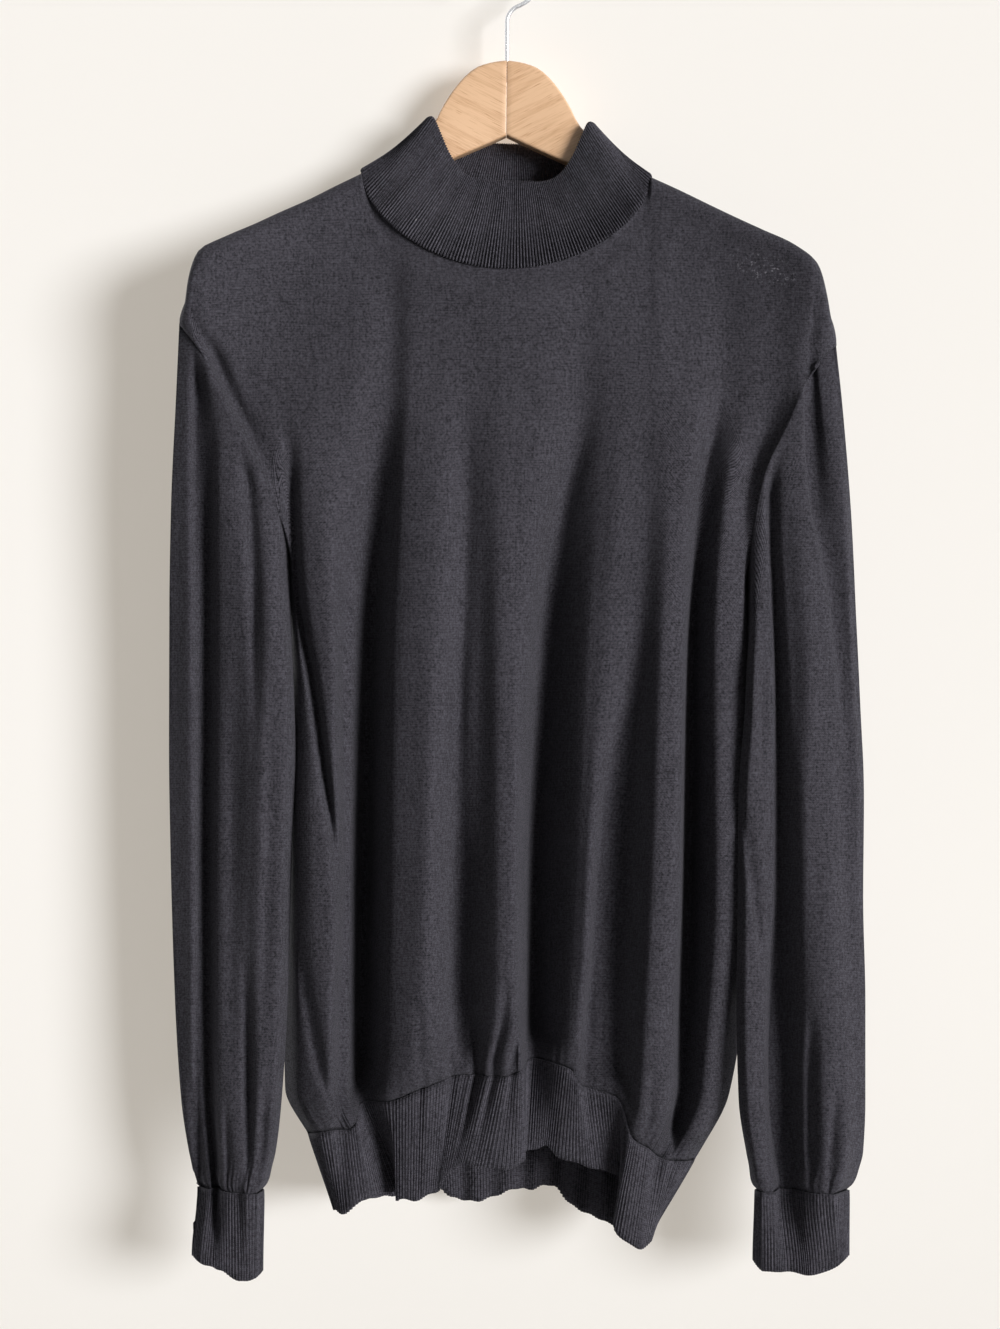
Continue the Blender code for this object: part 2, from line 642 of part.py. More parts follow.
def add_mesh(name, points, faces, material):
    mesh = bpy.data.meshes.new(name)
    mesh.from_pydata([tuple(value * MM for value in p) for p in points], [], faces)
    mesh.materials.append(material)
    mesh.shade_smooth()
    mesh.set_sharp_from_angle(angle=SHARP_EDGE)
    item = bpy.data.objects.new(name, mesh)
    bpy.context.scene.collection.objects.link(item)
    return item


def plain_material(name, colour, roughness, metallic=0.0):
    material = bpy.data.materials.new(name)
    material.use_nodes = True
    shader = material.node_tree.nodes["Principled BSDF"]
    shader.inputs["Base Color"].default_value = (*colour, 1.0)
    shader.inputs["Roughness"].default_value = roughness
    shader.inputs["Metallic"].default_value = metallic
    return material


def arm_section(x, top, bottom, thickness):
    """One cross section of an arm: a rectangle with rounded corners, drawn at x."""
    middle, half_height = (top + bottom) / 2, (bottom - top) / 2
    half_width = thickness / 2
    rounding = min(ARM_ROUNDING, half_width * 0.95, half_height * 0.95)
    ring = []
    for across, up, start in ((1, 1, 0), (-1, 1, 90), (-1, -1, 180), (1, -1, 270)):
        for step in range(CORNER_STEPS):
            angle = math.radians(start + step * 90 / (CORNER_STEPS - 1))
            y = across * (half_width - rounding) + rounding * math.cos(angle)
            z = up * (half_height - rounding) + rounding * math.sin(angle)
            ring.append((x, arm_y(x) + y, z - middle))
    return ring


def hanger_arm(name, side, material):
    """One mitred arm, turned about the top of the wood by the hanger's tilt."""
    points = []
    for x, top, bottom in ARM:
        past = max(x - (ARM_REACH - ARM_END_TAPER), 0.0) / ARM_END_TAPER
        thickness = ARM_THICKNESS * math.sqrt(1 - 0.75 * past * past)
        for x_out, y, z in arm_section(max(x, MITRE_GAP / 2), top, bottom, thickness):
            turned_x = side * x_out * math.cos(HANGER_TILT) + z * math.sin(HANGER_TILT)
            turned_z = z * math.cos(HANGER_TILT) - side * x_out * math.sin(HANGER_TILT)
            points.append((turned_x, y, WOOD_TOP + turned_z))
    around = 4 * CORNER_STEPS
    faces = [list(reversed(range(around))), list(range(len(points) - around, len(points)))]
    for start in range(0, len(points) - around, around):
        for i in range(around):
            j = (i + 1) % around
            faces.append([start + i, start + j, start + around + j, start + around + i])
    if side < 0:
        faces = [face[::-1] for face in faces]
    return add_mesh(name, points, faces, material)


def hook_route():
    """The wire's centre line, from inside the wood round to its free end."""
    start = WOOD_TOP - HOOK_DEPTH
    bend = WOOD_TOP + SHANK_LENGTH
    route = [(0.0, start), (0.0, WOOD_TOP), (0.0, (WOOD_TOP + bend) / 2)]
    centre = bend + HOOK_RISE
    meet = math.degrees(math.atan2(HOOK_RISE, -TURN_RADIUS))
    for step in range(7):
        angle = math.radians(mix(180.0, meet, step / 6))
        x = TURN_RADIUS * (1 + math.cos(angle))
        route.append((x, bend + TURN_RADIUS * math.sin(angle)))
    for step in range(1, 33):
        angle = math.radians(mix(meet - 180.0, LOOP_END, step / 32))
        route.append((LOOP_RADIUS * math.cos(angle), centre + LOOP_RADIUS * math.sin(angle)))
    return route


def hanger_hook(material):
    curve = bpy.data.curves.new("hanger_hook", "CURVE")
    curve.dimensions = "3D"
    curve.bevel_depth = WIRE_DIAMETER / 2 * MM
    curve.bevel_resolution = 3
    curve.use_fill_caps = True
    route = hook_route()
    spline = curve.splines.new("POLY")
    spline.points.add(len(route) - 1)
    for point, (x, z) in zip(spline.points, route):
        point.co = (x * MM, 0.0, z * MM, 1.0)
    curve.materials.append(material)
    item = bpy.data.objects.new("hanger_hook", curve)
    bpy.context.scene.collection.objects.link(item)


def bore_for_hook(arms):
    """Each arm is cut by half of the hole that the hook is driven into."""
    bpy.ops.mesh.primitive_cylinder_add(
        vertices=24,
        radius=(WIRE_DIAMETER / 2 + HOOK_CLEARANCE) * MM,
        depth=2 * (HOOK_DEPTH + HOOK_CLEARANCE) * MM,
        location=(0.0, 0.0, WOOD_TOP * MM),
    )
    drill = bpy.context.object
    drill.name = "hook_drill"
    drill.hide_render = True
    drill.display_type = "WIRE"
    for arm in arms:
        cut = arm.modifiers.new("hook_hole", "BOOLEAN")
        cut.operation = "DIFFERENCE"
        cut.object = drill


def build():
    for item in list(bpy.data.objects):
        bpy.data.objects.remove(item)
    knit = plain_material("charcoal_knit", (0.035, 0.033, 0.042), 0.9)
    wood = plain_material("pale_wood", (0.70, 0.45, 0.26), 0.45)
    steel = plain_material("bright_steel", (0.62, 0.62, 0.62), 0.25, 1.0)
    pieces = cloth_pieces()
    normals = shared_normals(pieces)
    for piece in pieces:
        cloth_solid(piece, normals, knit)
    arms = [
        hanger_arm("hanger_arm_left", -1, wood),
        hanger_arm("hanger_arm_right", 1, wood),
    ]
    bore_for_hook(arms)
    hanger_hook(steel)


build()
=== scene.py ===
import math

import bmesh
import bpy
import numpy as np
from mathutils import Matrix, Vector


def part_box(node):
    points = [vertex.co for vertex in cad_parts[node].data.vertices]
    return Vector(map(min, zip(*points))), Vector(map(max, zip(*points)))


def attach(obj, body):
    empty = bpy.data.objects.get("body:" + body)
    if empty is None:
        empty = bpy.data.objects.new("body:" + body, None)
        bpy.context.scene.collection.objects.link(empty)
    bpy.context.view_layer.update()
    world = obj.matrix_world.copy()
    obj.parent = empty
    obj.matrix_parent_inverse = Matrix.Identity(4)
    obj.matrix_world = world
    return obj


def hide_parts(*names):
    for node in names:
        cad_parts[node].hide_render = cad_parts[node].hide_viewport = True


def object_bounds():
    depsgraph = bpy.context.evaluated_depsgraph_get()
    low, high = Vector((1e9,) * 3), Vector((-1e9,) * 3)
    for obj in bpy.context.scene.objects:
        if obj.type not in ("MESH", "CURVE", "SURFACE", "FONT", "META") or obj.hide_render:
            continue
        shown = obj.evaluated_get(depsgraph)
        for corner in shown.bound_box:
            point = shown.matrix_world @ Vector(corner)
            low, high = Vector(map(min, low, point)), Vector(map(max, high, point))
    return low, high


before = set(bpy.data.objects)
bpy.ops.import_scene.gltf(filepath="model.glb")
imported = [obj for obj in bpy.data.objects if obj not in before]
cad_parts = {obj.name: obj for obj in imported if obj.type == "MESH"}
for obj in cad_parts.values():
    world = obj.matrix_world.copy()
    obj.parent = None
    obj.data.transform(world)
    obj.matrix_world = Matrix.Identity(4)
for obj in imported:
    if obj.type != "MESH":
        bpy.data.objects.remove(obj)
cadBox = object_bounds()
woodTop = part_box("hanger_arm_left")[1][2] * 1000  # mm, every drop is measured down from here
print("frame loaded, wood top at", round(woodTop, 2), "mm")

# Left and right are the viewer's, the front faces -Y. Tables are in mm.


def ease(value):
    value = np.clip(value, 0.0, 1.0)
    return value * value * (3 - 2 * value)


def mix(first, second, share):
    return first + (second - first) * share


# a smooth line through stations that never overshoots them
def through(places, values, at):
    places, values, at = (np.asarray(item, float) for item in (places, values, at))
    at = np.clip(at, places[0], places[-1])
    last = len(places) - 2
    index = np.clip(np.searchsorted(places, at, "right") - 1, 0, last)
    values = np.broadcast_to(values, at.shape + places.shape)
    slopes = np.diff(values, axis=-1) / np.diff(places)

    def pick(table, i):
        return np.take_along_axis(table, np.asarray(i)[..., None], -1)[..., 0]

    def tangent(i):
        before = pick(slopes, np.clip(i - 1, 0, last))
        after = pick(slopes, np.clip(i, 0, last))
        total = np.where(before + after == 0, 1.0, before + after)
        inside = np.where(before * after > 0, 2 * before * after / total, 0.0)
        return np.where((i == 0) | (i == last + 1), after, inside)

    span = np.diff(places)[index]
    t = (at - places[index]) / span
    start = pick(values, index) * (1 + 2 * t) * (1 - t) ** 2
    end = pick(values, index + 1) * t * t * (3 - 2 * t)
    bend = tangent(index) * t * (1 - t) ** 2 - tangent(index + 1) * t * t * (1 - t)
    return start + end + bend * span


# one column of a table, read at places between its rows
def read(table, column, at):
    rows = sorted(table)
    return through([row[0] for row in rows], [row[column] for row in rows], at)


def point(x, y, drop):
    x, y, drop = np.broadcast_arrays(x, y, drop)
    return np.stack([x, y, woodTop - drop], axis=-1)


# the wooden arms come first, because the shoulders lie on them
hanger = {
    "reach": 203.0,
    "forward": 46.0,  # how far the tips come forward
    "thickness": 14.0,
    "tilt": 0.6,  # degrees
    "mitreGap": 0.3,
    "edge": 3.4,
    "mitreEdge": 0.35,
    "boreRadius": 1.8,
    "boreDepth": 14.3,
    "grainTurn": 27.0,  # degrees that each arm's grain slopes
    "woodLight": (0.74, 0.475, 0.285),
    "woodDark": (0.5, 0.275, 0.135),
    # distance out, drop of the upper edge, drop of the lower edge
    "outline": (
        (0.0, 0.0, 51.5),
        (8.0, 1.0, 55.2),
        (20.0, 4.6, 60.7),
        (29.0, 11.7, 64.8),
        (36.5, 20.8, 68.2),
        (43.0, 31.0, 71.2),
        (50.0, 44.6, 74.5),
        (60.0, 54.0, 79.5),
        (70.0, 62.8, 84.5),
        (80.0, 71.0, 89.5),
        (90.0, 80.8, 96.0),
        (100.0, 89.2, 103.0),
        (121.0, 99.4, 114.0),
        (148.0, 112.0, 127.5),
        (170.0, 122.8, 139.0),
        (185.0, 130.2, 146.5),
        (196.0, 138.5, 152.0),
        (203.0, 146.5, 154.5),
    ),
}


# the arms bend forward towards their tips
def armY(x):
    return -hanger["forward"] * np.minimum(np.abs(x) / hanger["reach"], 1.0) ** 2


body = {
    "columns": 38,  # across a panel: sleeve head, shoulder, neck, shoulder, sleeve head
    "neckFirst": 9,
    "neckLast": 29,
    "underarm": 0.71,  # share of the panel's height
    "armholeRows": (0.71, 0.752, 0.794, 0.836, 0.875, 0.91, 0.942, 0.972, 0.992, 1.0),
    "shoulderHalfWidth": 11.5,
    "shoulderRounding": 12.0,
    "chestBlend": 150.0,
    "hemFlat": (24.0, -56.0, 6.0),  # how far over the hem seam, y in front, y at the back
    "hemFlatShare": 0.62,
    "levels": (235.0, 310.0, 400.0, 560.0, 700.0),  # drops at which the folds are given
    # column, x, drop
    "shoulderLeft": (
        (0.0, -220.0, 186.0),
        (1.0, -216.0, 171.0),
        (2.0, -213.5, 154.0),
        (3.0, -207.5, 137.0),
        (4.0, -190.0, 126.0),
        (5.0, -171.0, 116.5),
        (6.0, -153.0, 107.0),
        (7.0, -135.0, 98.0),
        (8.0, -117.0, 88.0),
        (9.0, -99.0, 78.5),
    ),
    "shoulderRight": (
        (38.0, 221.0, 200.0),
        (37.0, 217.0, 181.0),
        (36.0, 214.0, 164.0),
        (35.0, 209.0, 146.5),
        (34.0, 192.5, 131.0),
        (33.0, 173.0, 120.5),
        (32.0, 154.0, 110.5),
        (31.0, 135.5, 100.5),
        (30.0, 117.0, 90.5),
        (29.0, 98.0, 81.0),
    ),
    # drop, x, middle y, half the armhole's opening
    "sideLeft": (
        (186.0, -220.0, -47.0, 0.0),
        (200.0, -208.0, -46.5, 8.5),
        (216.0, -198.0, -45.0, 13.5),
        (249.0, -183.0, -42.0, 17.0),
        (283.0, -165.0, -39.0, 18.5),
        (310.0, -154.0, -36.0, 18.0),
        (330.0, -149.0, -33.0, 12.0),
        (344.0, -147.0, -31.0, 0.0),
        (400.0, -148.0, -27.0, 0.0),
        (560.0, -150.0, -28.0, 0.0),
        (640.0, -151.0, -30.0, 0.0),
        (700.0, -150.0, -33.0, 0.0),
        (731.0, -134.0, -36.0, 0.0),
    ),
    "sideRight": (
        (200.0, 221.0, -47.0, 0.0),
        (211.0, 209.0, -46.5, 8.5),
        (227.0, 199.0, -45.0, 13.5),
        (253.0, 187.0, -42.0, 17.0),
        (289.0, 171.0, -39.0, 18.5),
        (320.0, 165.0, -36.0, 18.0),
        (343.0, 163.0, -33.0, 12.0),
        (359.0, 162.0, -31.0, 0.0),
        (430.0, 166.5, -29.0, 0.0),
        (560.0, 164.5, -30.0, 0.0),
        (640.0, 160.0, -32.0, 0.0),
        (704.0, 150.0, -33.0, 0.0),
        (749.0, 126.0, -36.0, 0.0),
    ),
    # column, x at each level, y at each level, drop of the hem seam
    "frontFolds": (
        (2.0, (-172.0, -149.0, -138.0, -138.0, -139.0), (-57.0, -53.0, -54.0, -62.0, -54.0), 727.0),
        (4.0, (-152.0, -140.0, -129.0, -127.0, -126.0), (-56.0, -55.0, -60.0, -71.0, -62.0), 725.0),
        (6.0, (-130.0, -121.0, -114.0, -116.0, -117.0), (-56.0, -59.0, -64.0, -72.0, -66.0), 725.0),
        (8.0, (-104.0, -104.0, -105.0, -107.0, -108.0), (-55.0, -55.0, -58.0, -66.0, -62.0), 721.0),
        (10.0, (-79.0, -86.0, -92.0, -97.0, -99.0), (-48.0, -35.0, -26.0, -22.0, -28.0), 709.0),
        (12.0, (-64.0, -69.0, -74.0, -76.0, -79.0), (-54.0, -54.0, -57.0, -61.0, -60.0), 706.0),
        (14.0, (-47.0, -48.0, -50.0, -52.0, -56.0), (-55.0, -60.0, -66.0, -70.0, -66.0), 697.0),
        (16.0, (-25.0, -23.0, -22.0, -25.0, -29.0), (-54.0, -55.0, -57.0, -56.0, -48.0), 689.0),
        (18.0, (-3.0, -3.0, -4.0, -4.0, -4.0), (-56.0, -62.0, -68.0, -72.0, -66.0), 689.0),
        (20.0, (20.0, 18.0, 13.0, 8.0, 8.0), (-56.0, -60.0, -66.0, -71.0, -66.0), 686.0),
        (22.0, (51.0, 41.0, 29.0, 20.0, 18.0), (-51.0, -41.0, -31.0, -25.0, -32.0), 680.0),
        (24.0, (68.0, 63.0, 56.0, 48.0, 40.0), (-54.0, -53.0, -54.0, -54.0, -54.0), 684.0),
        (26.0, (80.0, 74.0, 67.0, 57.0, 51.0), (-55.0, -57.0, -58.0, -60.0, -58.0), 697.0),
        (28.0, (94.0, 92.0, 88.0, 79.0, 73.0), (-55.0, -56.0, -55.0, -49.0, -48.0), 704.0),
        (30.0, (112.0, 109.0, 104.0, 98.0, 91.0), (-56.0, -62.0, -68.0, -72.0, -66.0), 730.0),
        (32.0, (130.0, 125.0, 118.0, 114.0, 107.0), (-55.0, -58.0, -62.0, -66.0, -60.0), 737.0),
        (34.0, (147.0, 134.0, 127.0, 125.0, 120.0), (-50.0, -44.0, -38.0, -32.0, -38.0), 744.0),
        (36.0, (166.0, 147.0, 141.0, 142.0, 132.0), (-56.0, -56.0, -57.0, -57.0, -50.0), 747.0),
        (37.0, (182.0, 160.0, 158.0, 156.5, 142.0), (-52.0, -50.0, -51.0, -51.0, -44.0), 748.0),
    ),
    "backFolds": (
        (4.0, (-150.0, -132.0, -122.0, -121.0, -122.0), (-18.0, -4.0, 6.0, 10.0, 2.0), 733.0),
        (8.0, (-105.0, -95.0, -88.0, -86.0, -88.0), (-4.0, -2.0, 0.0, 1.0, 1.0), 729.0),
        (13.0, (-54.0, -50.0, -46.0, -45.0, -45.0), (9.0, 12.0, 16.0, 19.0, 13.0), 727.0),
        (18.0, (-4.0, -6.0, -8.0, -9.0, -9.0), (12.0, 9.0, 4.0, -3.0, -2.0), 723.0),
        (23.0, (44.0, 38.0, 34.0, 32.0, 30.0), (10.0, 14.0, 17.0, 18.0, 13.0), 719.0),
        (28.0, (92.0, 82.0, 75.0, 72.0, 66.0), (0.0, -3.0, -5.0, -7.0, -3.0), 733.0),
        (34.0, (147.0, 135.0, 124.0, 119.0, 108.0), (-16.0, -2.0, 8.0, 10.0, 4.0), 746.0),
    ),
    "gridSpacing": 2.35,
    "gridRows": 170,
    "wall": 1.3,
    "seamGroove": 0.6,  # how far an armhole seam pulls the cloth in
    "frontCut": (0.63, 0.67, 0.32),
    "backCut": (0.48, 0.67, 0.24),
}

neck = {
    "frontDip": 67.0,
    "backDip": 26.0,
    "frontReach": -29.5,
    "backReach": 22.0,
    "roundness": 1.25,
    "leave": 25.0,  # how far below the seam the cloth keeps the seam's own depth
}
neckColumns = body["neckLast"] - body["neckFirst"]


# where the collar is sewn to a panel
def neckEdge(column, back):
    turn = (np.clip(column, body["neckFirst"], body["neckLast"]) - body["neckFirst"]) / neckColumns
    across = -np.cos(np.pi * turn)
    roundSide = np.sin(np.pi * turn).clip(0.0)
    left, right = body["shoulderLeft"][-1], body["shoulderRight"][-1]
    x = mix(left[1], right[1], (1 + across) / 2)
    dip = np.where(back, neck["backDip"], neck["frontDip"])
    reach = np.where(back, neck["backReach"], neck["frontReach"])
    drop = mix(left[2], right[2], (1 + across) / 2) + dip * roundSide ** neck["roundness"]
    return x, armY(left[1]) + reach * roundSide, drop


# the panel's upper edge: shoulder, neck, shoulder
def topEdge(column, back):
    x, y, drop = neckEdge(column, back)
    left, right = column < body["neckFirst"], column > body["neckLast"]
    x = np.where(left, read(body["shoulderLeft"], 1, column), x)
    x = np.where(right, read(body["shoulderRight"], 1, column), x)
    drop = np.where(left, read(body["shoulderLeft"], 2, column), drop)
    drop = np.where(right, read(body["shoulderRight"], 2, column), drop)
    return x, np.where(left | right, armY(x), y), drop


# the panel's side edge, which opens out at the armhole
def sideEdge(table, back, drop):
    half = read(table, 3, drop)
    return read(table, 1, drop), read(table, 2, drop) + (half if back else -half)


def hemDrop(column, back):
    folds = body["backFolds" if back else "frontFolds"]
    stations = [(0.0, body["sideLeft"][-1][0])]
    stations += [(row[0], row[3]) for row in folds]
    stations += [(float(body["columns"]), body["sideRight"][-1][0])]
    return read(stations, 1, column)


# x and y of the folded cloth at a column and a drop, below the chest
def foldSection(back, column, drop):
    folds = body["backFolds" if back else "frontFolds"]
    levels = body["levels"]
    left = sideEdge(body["sideLeft"], back, drop)
    right = sideEdge(body["sideRight"], back, drop)
    lowLeft = read(body["sideLeft"], 1, levels[-1])
    lowRight = read(body["sideRight"], 1, levels[-1])
    across, depth = [left[0]], [left[1]]
    for row in folds:
        x = through(levels, row[1], drop)
        share = (x - lowLeft) / (lowRight - lowLeft)
        across.append(np.where(drop > levels[-1], mix(left[0], right[0], share), x))
        depth.append(through(levels, row[2], drop))
    across.append(right[0])
    depth.append(right[1])
    places = [0.0] + [row[0] for row in folds] + [float(body["columns"])]
    x = through(places, np.stack(across, axis=-1), column)
    return x, through(places, np.stack(depth, axis=-1), column)


# soft creases laid over the main folds. Stations: drop, x, depth inwards, and how wide the
# left side and the right side are
def creaseDepth(creases, x, drop):
    total = np.zeros_like(x)
    for path in creases:
        drops, across, depths, lefts, rights = zip(*path)
        centre = through(drops, across, drop)
        width = np.where(x < centre, through(drops, lefts, drop), through(drops, rights, drop))
        total += through(drops, depths, drop) * np.exp(-(((x - centre) / width) ** 2))
    return total


# a crease that keeps its widths
def even(left, right, *stations):
    return [(*station, left, right) for station in stations]


frontCreases = (
    # from the left underarm down to the right
    ((255, -144, 0, 5, 4), (300, -144, 8, 3, 4), (363, -141, 11, 3, 4), (430, -130, 12, 2.5, 4),
     (480, -123, 12, 2.5, 4), (520, -117, 10, 2.5, 4), (555, -113, 7, 2.5, 4), (600, -111, 3, 3, 4),
     (640, -110, 0, 3, 4)),
    # the deep one left of the middle
    ((205, -84, 0, 14, 10), (260, -90, 4, 13, 10), (300, -98, 9, 13, 12), (363, -106, 15, 8, 16),
     (430, -110, 20, 3, 17), (560, -108, 23, 3, 17), (660, -112, 22, 3, 24), (700, -112, 15, 4, 26),
     (716, -109, 4, 5, 16)),
    ((225, -28, 0, 8, 8), (300, -28, 5, 9, 7), (363, -29, 6, 9, 6), (430, -32, 9, 9, 6),
     (500, -34, 12, 9, 8), (560, -33, 15, 9, 9), (630, -34, 14, 7, 9), (680, -29, 5, 5, 8),
     (696, -27, 2, 5, 8)),
    # right of the middle
    ((210, 60, 0, 16, 9), (260, 50, 3, 16, 9), (300, 38, 8, 15, 9), (363, 25, 13, 10, 12),
     (430, 17, 15, 6, 14), (500, 12, 18, 4, 15), (560, 11, 19, 4, 14), (640, 11, 19, 4, 15),
     (680, 14, 14, 3, 15), (692, 15, 5, 4, 12)),
    ((380, 90, 0, 12, 8), (430, 84, 4, 12, 9), (470, 74, 9, 9, 12), (530, 64, 15, 5, 18),
     (620, 58, 17, 4, 20), (680, 53, 16, 4, 24), (712, 55, 5, 5, 18)),
    # from the right underarm straight down
    ((222, 143, 0, 7, 7), (262, 137, 6, 8, 5), (300, 129, 10, 6, 4), (363, 124, 12, 4, 5),
     (430, 121, 15, 3, 7), (560, 119, 18, 3, 12), (640, 117, 17, 4, 14), (700, 116, 13, 4, 14),
     (745, 112, 4, 4, 8)),
    # down to the right armhole from the shoulder
    even(3, 6, (160, 206, 0), (182, 205, 5), (205, 203, 8), (225, 202, 7), (245, 200, 0)),
    # along the left armhole
    even(3, 6, (168, -222, 0), (192, -206, 6), (208, -196, 9), (224, -190, 9), (241, -182, 6),
         (258, -172, 3), (275, -165, 0)),
    # below the left underarm
    even(3, 4, (235, -151, 0), (280, -148, 3), (340, -147, 3), (400, -147, 0)),
    # gathers over the hem
    even(3, 6, (600, -139, 0), (640, -133, 4), (680, -126, 5), (716, -113, 2)),
    even(2.4, 3, (630, -60, 0), (660, -58, 2.4), (700, -58, 1.5)),
    even(2.2, 5, (638, -44, 0), (660, -41, 5), (682, -38, 8), (698, -36, 2)),
    even(2, 4, (645, -25, 0), (664, -22, 5), (686, -21, 7), (698, -21, 2)),
    even(4, 6, (560, -34, 0), (620, -36, 1.6), (660, -33, 0)),
    even(2, 4, (622, -1, 0), (648, -3, 5), (670, -7, 7), (684, -9, 6), (694, -9, 2)),
    even(2, 3, (650, 8, 0), (672, 5, 5), (690, 3, 2)),
    even(3, 4, (610, 58, 0), (650, 55, 3), (700, 52, 1)),
    even(2.4, 4, (680, 98, 0), (708, 95, 3.4), (734, 93, 1)),
    even(2.4, 3.6, (690, 112, 0), (718, 112, 2.4), (742, 112, 1)),
    # ridges that stand a little prouder
    even(6, 4, (380, 118, 0), (440, 114, -1.4), (560, 108, -1.6), (650, 100, 0)),
    even(8, 5, (380, -52, 0), (470, -52, -1.4), (620, -55, -1.6), (680, -56, 0)),
    even(7, 4, (380, 4, 0), (470, 5, -1.4), (600, 8, -1.8), (680, 6, 0)),
)
backCreases = (
    even(3, 5, (640, -104, 0), (680, -102, 3), (728, -100, 1)),
    even(3, 5, (650, -66, 0), (690, -64, 3), (726, -62, 1)),
    even(3, 4, (640, -28, 0), (680, -26, 2.6), (722, -26, 1)),
    even(3, 5, (650, 12, 0), (690, 13, 3.2), (718, 12, 1)),
    even(3, 4, (640, 50, 0), (680, 49, 2.6), (722, 48, 1)),
    even(3, 5, (660, 88, 0), (700, 86, 3.2), (736, 84, 1)),
    even(9, 16, (260, 60, 0), (380, 58, 4), (500, 54, 3), (620, 50, 0)),
    even(8, 12, (300, -4, 0), (420, -8, 3), (560, -9, 4), (680, -9, 0)),
    even(8, 14, (250, 118, 0), (340, 112, 4), (480, 104, 3), (600, 98, 0)),
    even(10, 16, (270, -128, 0), (360, -124, 4), (520, -120, 4), (640, -118, 0)),
)


# a point of a body panel: height is 0 at the hem seam and 1 at the upper edge
def panelPoint(back, column, height):
    column, height = np.broadcast_arrays(np.asarray(column, float), np.asarray(height, float))
    topX, topY, topDrop = topEdge(column, back)
    drop = mix(hemDrop(column, back), topDrop, height)
    below = (drop - topDrop).clip(0.0)
    start = body["levels"][0]
    x, y = foldSection(back, column, np.maximum(drop, start))
    x = mix(topX, x, ease(below / (start - topDrop)))
    # above the folds the depth goes by the place across, so columns that bunch at the neck make no crease
    fine = np.linspace(0.0, body["columns"], 400)
    fineX, fineY = foldSection(back, fine, np.full(400, start))
    y = np.where(drop < start, np.interp(x, fineX, fineY), y)
    neckLeft, neckRight = body["shoulderLeft"][-1][1], body["shoulderRight"][-1][1]
    across = np.clip(2 * (x - neckLeft) / (neckRight - neckLeft) - 1, -1, 1)
    reach = abs(armY(neckLeft) + (neck["backReach"] if back else neck["frontReach"]))
    bulge = mix(body["shoulderHalfWidth"], reach, (1 - across**2) ** 1.5)
    edge = np.minimum(column, body["columns"] - column)
    turn = np.minimum(below / body["shoulderRounding"], 1.0)
    rounded = np.sqrt(1 - (1 - turn) ** 2)
    leave = mix(rounded, ease(below / neck["leave"]), ease((edge - body["neckFirst"]) / 5))
    shoulderDrop = mix(body["shoulderLeft"][-1][2], body["shoulderRight"][-1][2], (1 + across) / 2)
    belowShoulder = np.where(edge < body["neckFirst"], below, drop - shoulderDrop)
    y = mix(armY(x) + (bulge if back else -bulge), y, ease(belowShoulder / body["chestBlend"]))
    y = mix(topY, y, leave)
    # the folds flatten as they reach the firmer rib
    nearHem = ease((drop - hemDrop(column, back) + body["hemFlat"][0]) / body["hemFlat"][0])
    y = mix(y, body["hemFlat"][2 if back else 1], body["hemFlatShare"] * nearHem * ease(edge / 4))
    # the last column runs down the seam itself
    last = float(body["columns"])
    sideX, sideY = foldSection(back, np.where(column < last / 2, 0.0, last), drop)
    inside = np.clip(edge, 0.0, 1.0)
    x, y = mix(sideX, x, inside), mix(sideY, y, inside)
    # the front's armhole folds in with its creases, every other edge keeps its line
    atArmhole = ease((height - body["underarm"]) / 0.06) * (0.0 if back else 1.0)
    calm = np.maximum(ease(edge / 2.0), atArmhole) * ease((1 - height) / 0.08)
    depth = creaseDepth(backCreases if back else frontCreases, x, drop) * calm
    return point(x, y + (-depth if back else depth), drop)


# columns at even steps of cloth along one line, and how far along each one is
def evenSteps(line, first, last, spacing):
    fine = np.linspace(first, last, 3000)
    steps = np.linalg.norm(np.diff(line(fine), axis=0), axis=1)
    length = np.concatenate([[0.0], np.cumsum(steps)])
    along = np.linspace(0.0, length[-1], max(int(length[-1] / spacing), 8) + 1)
    return np.interp(along, length, fine), along


# the direction square to the surface at each point of a grid
def outward(points, closed):
    wrapped = np.concatenate([points[:, -1:], points, points[:, :1]], axis=1)
    across = wrapped[:, 2:] - wrapped[:, :-2]
    if not closed:
        across[:, 0] = points[:, 1] - points[:, 0]
        across[:, -1] = points[:, -1] - points[:, -2]
    normal = np.cross(across, np.gradient(points, axis=0))
    return normal / np.linalg.norm(normal, axis=-1, keepdims=True).clip(1e-9)


# a grid of points as a mesh, with a place in mm on the knitted cloth for each corner
def clothMesh(name, points, across, down, closed=False, turned=False, ring=False):
    rows, count = points.shape[:2]
    row, col = np.meshgrid(
        np.arange(rows if ring else rows - 1),
        np.arange(count if closed else count - 1),
        indexing="ij",
    )
    corners = [(row, col), (row, col + 1), (row + 1, col + 1), (row + 1, col)]
    quads = np.stack([(r % rows) * count + c % count for r, c in corners], axis=-1).reshape(-1, 4)
    size = (rows + ring, count + closed)
    across, down = np.broadcast_to(across, size), np.broadcast_to(down, size)
    stitches = [np.stack([across[r, c], down[r, c]], axis=-1) for r, c in corners]
    stitches = np.stack(stitches, axis=-2).reshape(-1, 4, 2)
    if turned:
        quads, stitches = quads[:, ::-1], stitches[:, ::-1]
    mesh = bpy.data.meshes.new(name)
    mesh.from_pydata((points.reshape(-1, 3) * 0.001).tolist(), [], quads.tolist())
    mesh.uv_layers.new(name="stitches").data.foreach_set("uv", stitches.ravel())
    mesh.shade_smooth()
    piece = bpy.data.objects.new(name, mesh)
    bpy.context.scene.collection.objects.link(piece)
    return piece


